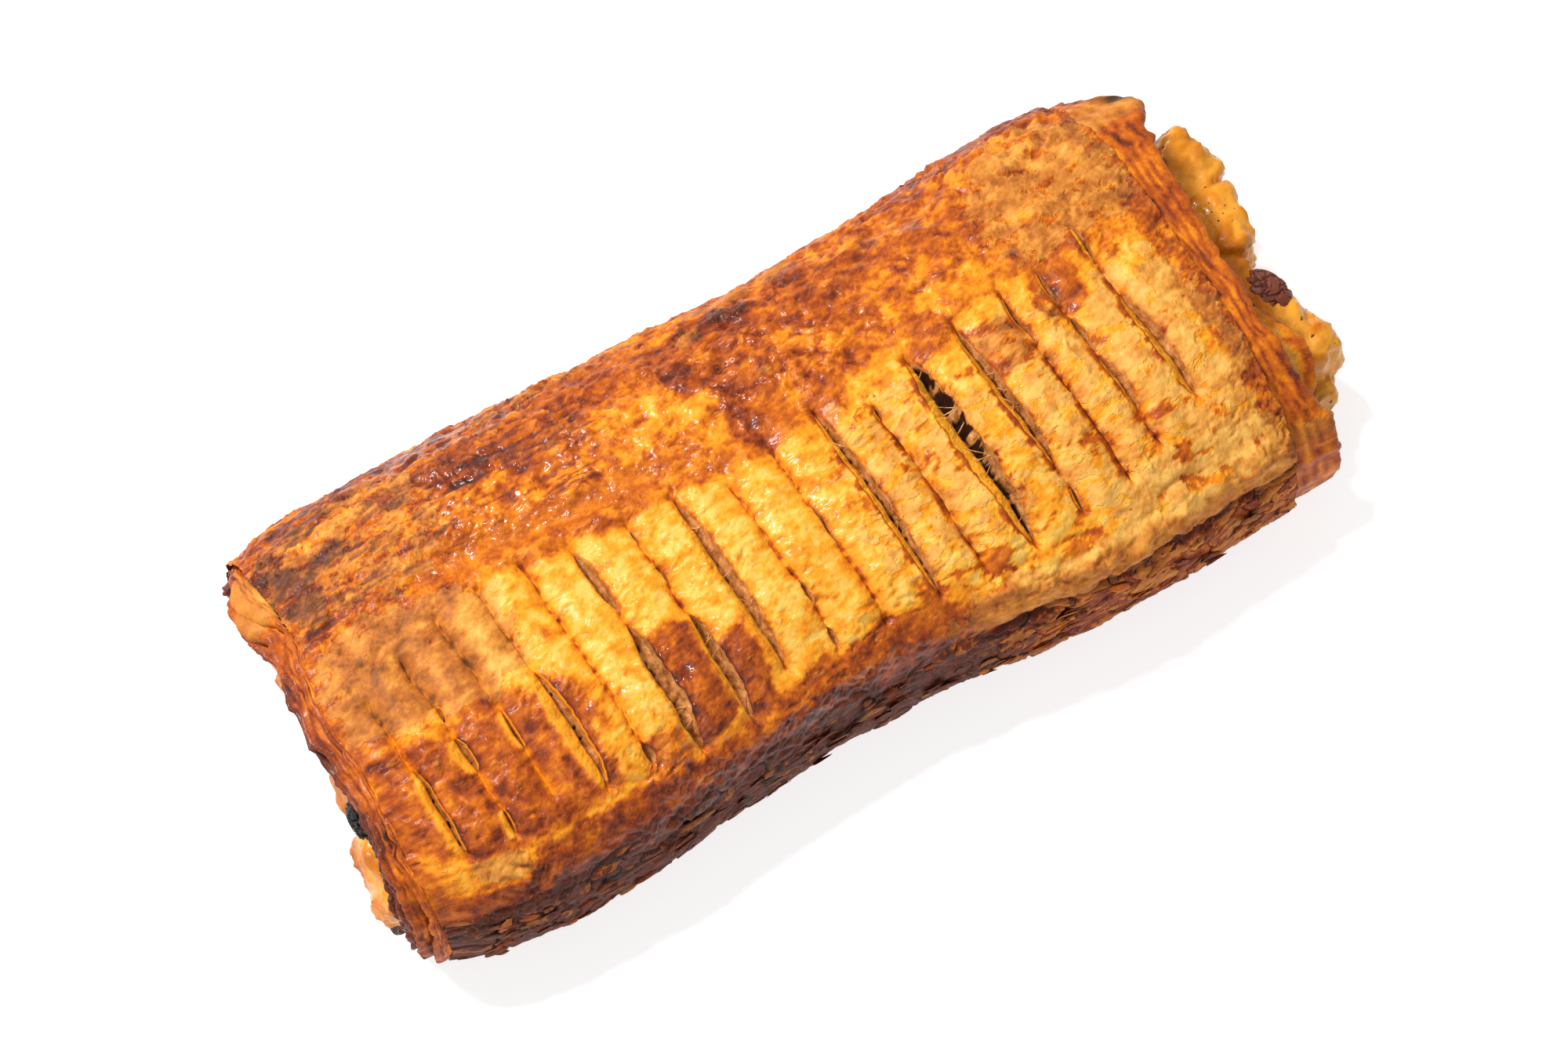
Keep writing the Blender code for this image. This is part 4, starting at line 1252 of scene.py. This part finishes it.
# %% Material helpers
class Finish:
    """A Principled material, with a short way to add each kind of node."""

    def __init__(self, name, roughness=0.5, **inputs):
        self.material = bpy.data.materials.new(name)
        self.material.use_nodes = True
        self.tree = self.material.node_tree
        self.shader = self.tree.nodes["Principled BSDF"]
        for key, value in {"Roughness": roughness, **inputs}.items():
            self.shader.inputs[key.replace("_", " ")].default_value = value

    def node(self, kind, links=None, **settings):
        made = self.tree.nodes.new(kind)
        for key, value in settings.items():
            setattr(made, key, value)
        for key, value in (links or {}).items():
            if isinstance(value, bpy.types.NodeSocket):
                self.tree.links.new(value, made.inputs[key])
            else:
                made.inputs[key].default_value = value
        return made

    def drive(self, key, value):
        self.tree.links.new(value, self.shader.inputs[key])

    def maths(self, operation, a, b, clamp=False):
        return self.node("ShaderNodeMath", {0: a, 1: b}, operation=operation, use_clamp=clamp).outputs[0]

    def plus(self, a, b, clamp=False):
        return self.maths("ADD", a, b, clamp)

    def minus(self, a, b, clamp=False):
        return self.maths("SUBTRACT", a, b, clamp)

    def times(self, a, b):
        return self.maths("MULTIPLY", a, b)

    def around(self, value, size):
        """The value's swing about a half, made size wide."""
        return self.times(self.minus(value, 0.5), size)

    def mixed(self, factor, a, b):
        return self.node("ShaderNodeMix", {0: factor, 6: a, 7: b}, data_type="RGBA").outputs[2]

    def tinted(self, factor, colour, red, green, blue):
        return self.mixed(factor, colour, (red, green, blue, 1.0))

    def stepped(self, value, low, high):
        links = {0: value, 1: low, 2: high}
        return self.node("ShaderNodeMapRange", links, interpolation_type="SMOOTHSTEP").outputs[0]

    def ranged(self, value, low, high, first, last):
        return self.node("ShaderNodeMapRange", {0: value, 1: low, 2: high, 3: first, 4: last}).outputs[0]

    def noise(self, scale, detail, rough=0.55):
        """Noise on object coordinates. The scale counts lumps in a metre."""
        place = self.node("ShaderNodeTexCoord").outputs["Object"]
        links = {"Vector": place, "Scale": scale, "Detail": detail, "Roughness": rough}
        return self.node("ShaderNodeTexNoise", links).outputs["Fac"]

    def field(self, key):
        return self.node("ShaderNodeAttribute", attribute_name=key).outputs["Fac"]

    def ramp(self, factor, stops):
        """A colour ramp through (place, red, green, blue) stops."""
        made = self.node("ShaderNodeValToRGB", {"Fac": factor})
        elements = made.color_ramp.elements
        while len(elements) < len(stops):
            elements.new(0.5)
        for element, (place, *colour) in zip(elements, stops):
            element.position = place
            element.color = (*colour, 1.0)
        return made.outputs["Color"]

    def bump(self, height, strength, distance):
        links = {"Height": height, "Strength": strength, "Distance": distance}
        self.drive("Normal", self.node("ShaderNodeBump", links).outputs["Normal"])


# %% The crust
CRUST_STOPS = (
    (0.00, 0.86, 0.50, 0.095),
    (0.15, 0.88, 0.36, 0.022),
    (0.30, 0.80, 0.245, 0.010),
    (0.45, 0.54, 0.125, 0.008),
    (0.58, 0.36, 0.066, 0.008),
    (0.70, 0.205, 0.033, 0.008),
    (0.82, 0.110, 0.020, 0.007),
    (0.92, 0.065, 0.018, 0.009),
    (1.00, 0.028, 0.012, 0.008),
)
TAN_STOPS = (
    (0.00, 0.84, 0.44, 0.095),
    (0.25, 0.70, 0.28, 0.044),
    (0.50, 0.47, 0.140, 0.022),
    (0.75, 0.19, 0.062, 0.019),
    (1.00, 0.09, 0.036, 0.018),
)
LIP_STOPS = ((0.0, 0.76, 0.21, 0.008), (0.6, 0.96, 0.34, 0.012), (1.0, 1.0, 0.44, 0.03))
CRUMB_STOPS = (
    (0.30, 0.24, 0.075, 0.016), (0.50, 0.52, 0.22, 0.062), (0.72, 0.80, 0.44, 0.16),
)


def crust_material(name):
    make = Finish(name, Coat_Roughness=0.10, Coat_IOR=1.33, Specular_IOR_Level=0.12)
    grain, soft = make.noise(1500.0, 2.0), make.noise(420.0, 4.0, 0.65)
    coarse = make.noise(130.0, 5.0, 0.6)
    brown = make.plus(make.field("brown"), make.around(soft, 0.36))
    brown = make.plus(brown, make.around(grain, 0.22))
    brown = make.plus(brown, make.around(coarse, 0.24), clamp=True)
    specks = make.times(make.stepped(grain, 0.60, 0.70), make.stepped(make.field("brown"), 0.48, 0.60))
    specks = make.times(specks, make.minus(0.8, make.field("glaze"), clamp=True))
    under = make.tinted(make.times(specks, 0.5), make.ramp(brown, CRUST_STOPS), 0.62, 0.24, 0.085)
    leaf = make.plus(make.field("tan"), make.around(soft, 0.20))
    leaf = make.stepped(make.plus(leaf, make.around(grain, 0.08)), 0.48, 0.53)
    colour = make.mixed(leaf, under, make.ramp(brown, TAN_STOPS))
    tinge = make.times(make.field("purple"), make.stepped(soft, 0.30, 0.60))
    colour = make.tinted(make.times(tinge, 0.7), colour, 0.135, 0.045, 0.034)
    lip = make.ramp(make.plus(make.field("lip"), make.around(soft, 0.5)), LIP_STOPS)
    colour = make.mixed(make.stepped(make.field("lip"), 0.1, 0.6), colour, lip)
    fibres = make.ramp(make.plus(soft, make.around(grain, 0.3)), CRUMB_STOPS)
    colour = make.mixed(make.stepped(make.field("crumb"), 0.1, 0.6), colour, fibres)
    # Painted shade: holes, slit valleys and threads tinted towards black.
    colour = make.tinted(make.stepped(make.field("hollow"), 0.15, 0.85), colour, 0.035, 0.012, 0.006)
    colour = make.tinted(make.times(make.field("char"), 0.9), colour, 0.022, 0.012, 0.010)
    make.drive("Base Color", colour)
    wet = make.times(make.field("glaze"), make.minus(1.0, make.times(leaf, 0.6)))
    dry = make.ranged(wet, 0.0, 1.0, 0.52, 0.30)
    make.drive("Roughness", make.plus(dry, make.around(soft, 0.25), clamp=True))
    make.drive("Coat Weight", make.times(wet, 0.9))
    relief = make.plus(make.times(soft, 0.8), make.times(grain, 0.3))
    make.bump(make.plus(relief, make.times(leaf, 0.3)), 0.65, 0.0006)
    return make.material


# %% [markdown]
# Apple jelly lets light in, so it looks deep amber where it is thick, against the pastry, and
# pale and creamy where a block of apple stands out. A raisin is nearly black, with a dry bloom
# on its ridges and a shine in between.

# %% Apple and raisins
APPLE_STOPS = (
    (0.0, 0.82, 0.34, 0.030),
    (0.3, 0.70, 0.220, 0.009),
    (0.6, 0.52, 0.132, 0.004),
    (1.0, 0.30, 0.055, 0.003),
)
# Each raisin: its material's name, the colour in its folds and the colour on its ridges.
RAISIN_FINISHES = {
    "wrinkled_raisin_left": ("charred_raisin", (0.005, 0.003, 0.003), (0.016, 0.009, 0.010)),
    "wrinkled_raisin_right": ("plump_raisin", (0.080, 0.015, 0.008), (0.20, 0.050, 0.026)),
}


def apple_material(name):
    make = Finish(name, 0.30, Coat_Roughness=0.10, Coat_IOR=1.35, Specular_IOR_Level=0.2)
    soft, coarse = make.noise(600.0, 4.0, 0.6), make.noise(170.0, 4.0, 0.6)
    depth = make.plus(make.field("amber"), make.around(coarse, 0.9))
    depth = make.plus(depth, make.around(soft, 0.35), clamp=True)
    candied = make.times(make.field("candied"), 0.45)
    colour = make.tinted(candied, make.ramp(depth, APPLE_STOPS), 0.50, 0.17, 0.02)
    colour = make.tinted(make.stepped(make.noise(1100.0, 1.0), 0.73, 0.76), colour, 0.10, 0.03, 0.012)
    make.drive("Base Color", colour)
    make.drive("Coat Weight", make.ranged(coarse, 0.35, 0.65, 0.5, 0.1))
    make.drive("Roughness", make.ranged(coarse, 0.35, 0.65, 0.22, 0.5))
    make.bump(make.plus(soft, make.times(coarse, 0.6)), 0.5, 0.0004)
    return make.material


def raisin_material(name, valley, ridge):
    make = Finish(name, 0.4, Coat_Roughness=0.2, Specular_IOR_Level=0.3)
    soft = make.noise(900.0, 4.0, 0.6)
    where = make.plus(make.field("fold"), make.around(soft, 0.7), clamp=True)
    make.drive("Base Color", make.mixed(where, (*valley, 1.0), (*ridge, 1.0)))
    make.drive("Roughness", make.ranged(soft, 0.3, 0.7, 0.25, 0.6))
    make.bump(soft, 0.5, 0.0003)
    return make.material


crust = crust_material("baked_crust")
pastry_pieces = (*skins, underside, *ends, loose, crumb_threads)
for piece in pastry_pieces:
    piece.data.materials.append(crust)
filling.data.materials.append(apple_material("cooked_apple"))
for name, finish in RAISIN_FINISHES.items():
    raisins[name].data.materials.append(raisin_material(*finish))
print(len(crust.node_tree.nodes), "nodes in the crust")

# %% [markdown]
# ## Floor, light and camera
# A pale table, a broad soft light from behind on the left and a paler one from the front show
# the relief without hard shadows, as in a studio. A small third light gives the glaze its
# sparkle. The table glows a little, as a light table does, so that it stays white round the
# dark crust.

# %% Stage
# Each light: its place and what it is aimed at (m), its size (m) and its power (W).
LIGHTS = {
    "window": ((-0.35, 0.45, 0.75), (0, 0, 0.02), 0.26, 8.6),
    "front_fill": ((-0.5, -0.7, 0.8), (0, 0, 0.02), 0.9, 2.6),
    "sparkle": ((-0.12, 0.25, 0.9), (0, 0, 0.03), 0.05, 2.4),
}
TABLE_HALF, TABLE_COLOUR, TABLE_GLOW = 3.0, (0.55, 0.55, 0.55, 1), 0.72
SKY_COLOUR, SKY_STRENGTH = (1.0, 0.99, 0.98, 1), 0.32

bm = bmesh.new()
bmesh.ops.create_grid(bm, x_segments=1, y_segments=1, size=TABLE_HALF)
table = put_in_scene("table", as_mesh(bm, "table"))
pale = Finish("pale_table", 0.8, Specular_IOR_Level=0.1, Emission_Strength=TABLE_GLOW,
              Base_Color=TABLE_COLOUR, Emission_Color=(1, 1, 1, 1))
table.data.materials.append(pale.material)

world = bpy.data.worlds.new("studio")
world.use_nodes = True
sky = world.node_tree.nodes["Background"]
sky.inputs["Color"].default_value = SKY_COLOUR
sky.inputs["Strength"].default_value = SKY_STRENGTH
bpy.context.scene.world = world
for name, (place, aim, size, power) in LIGHTS.items():
    lamp = bpy.data.lights.new(name, "AREA")
    lamp.shape, lamp.size, lamp.energy = "DISK", size, power
    made = put_in_scene(name, lamp)
    made.location = place
    made.rotation_euler = (Vector(aim) - Vector(place)).to_track_quat("-Z", "Y").to_euler()
print(len(LIGHTS), "lights")

# %% Camera
ELEVATION, TURN, DISTANCE = math.radians(65.0), math.radians(30.76), 0.80
TARGET = Vector((-3.7, -2.02, 18.0)) * MM
LENS, SENSOR_WIDTH = 115.8, 36.0
looking = Vector((
    math.sin(TURN) * math.cos(ELEVATION), math.cos(TURN) * math.cos(ELEVATION), -math.sin(ELEVATION)
))
camera = put_in_scene("camera", bpy.data.cameras.new("camera"))
camera.data.lens, camera.data.sensor_width = LENS, SENSOR_WIDTH
camera.location = TARGET - looking * DISTANCE
camera.rotation_euler = looking.to_track_quat("-Z", "Y").to_euler()
bpy.context.scene.camera = camera
bpy.context.scene.view_settings.view_transform = "Standard"
print("camera at", [round(value, 3) for value in camera.location])

# %% [markdown]
# ## Hand over
# Each piece rides on the part's one body and stands for the node whose surface it shows.

# %% Hand over
for piece in pastry_pieces:
    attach(piece, "root")
    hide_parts("pastry")
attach(filling, "root")
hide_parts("filling")
for name, piece in raisins.items():
    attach(piece, "root")
    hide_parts(RAISINS[name][0])
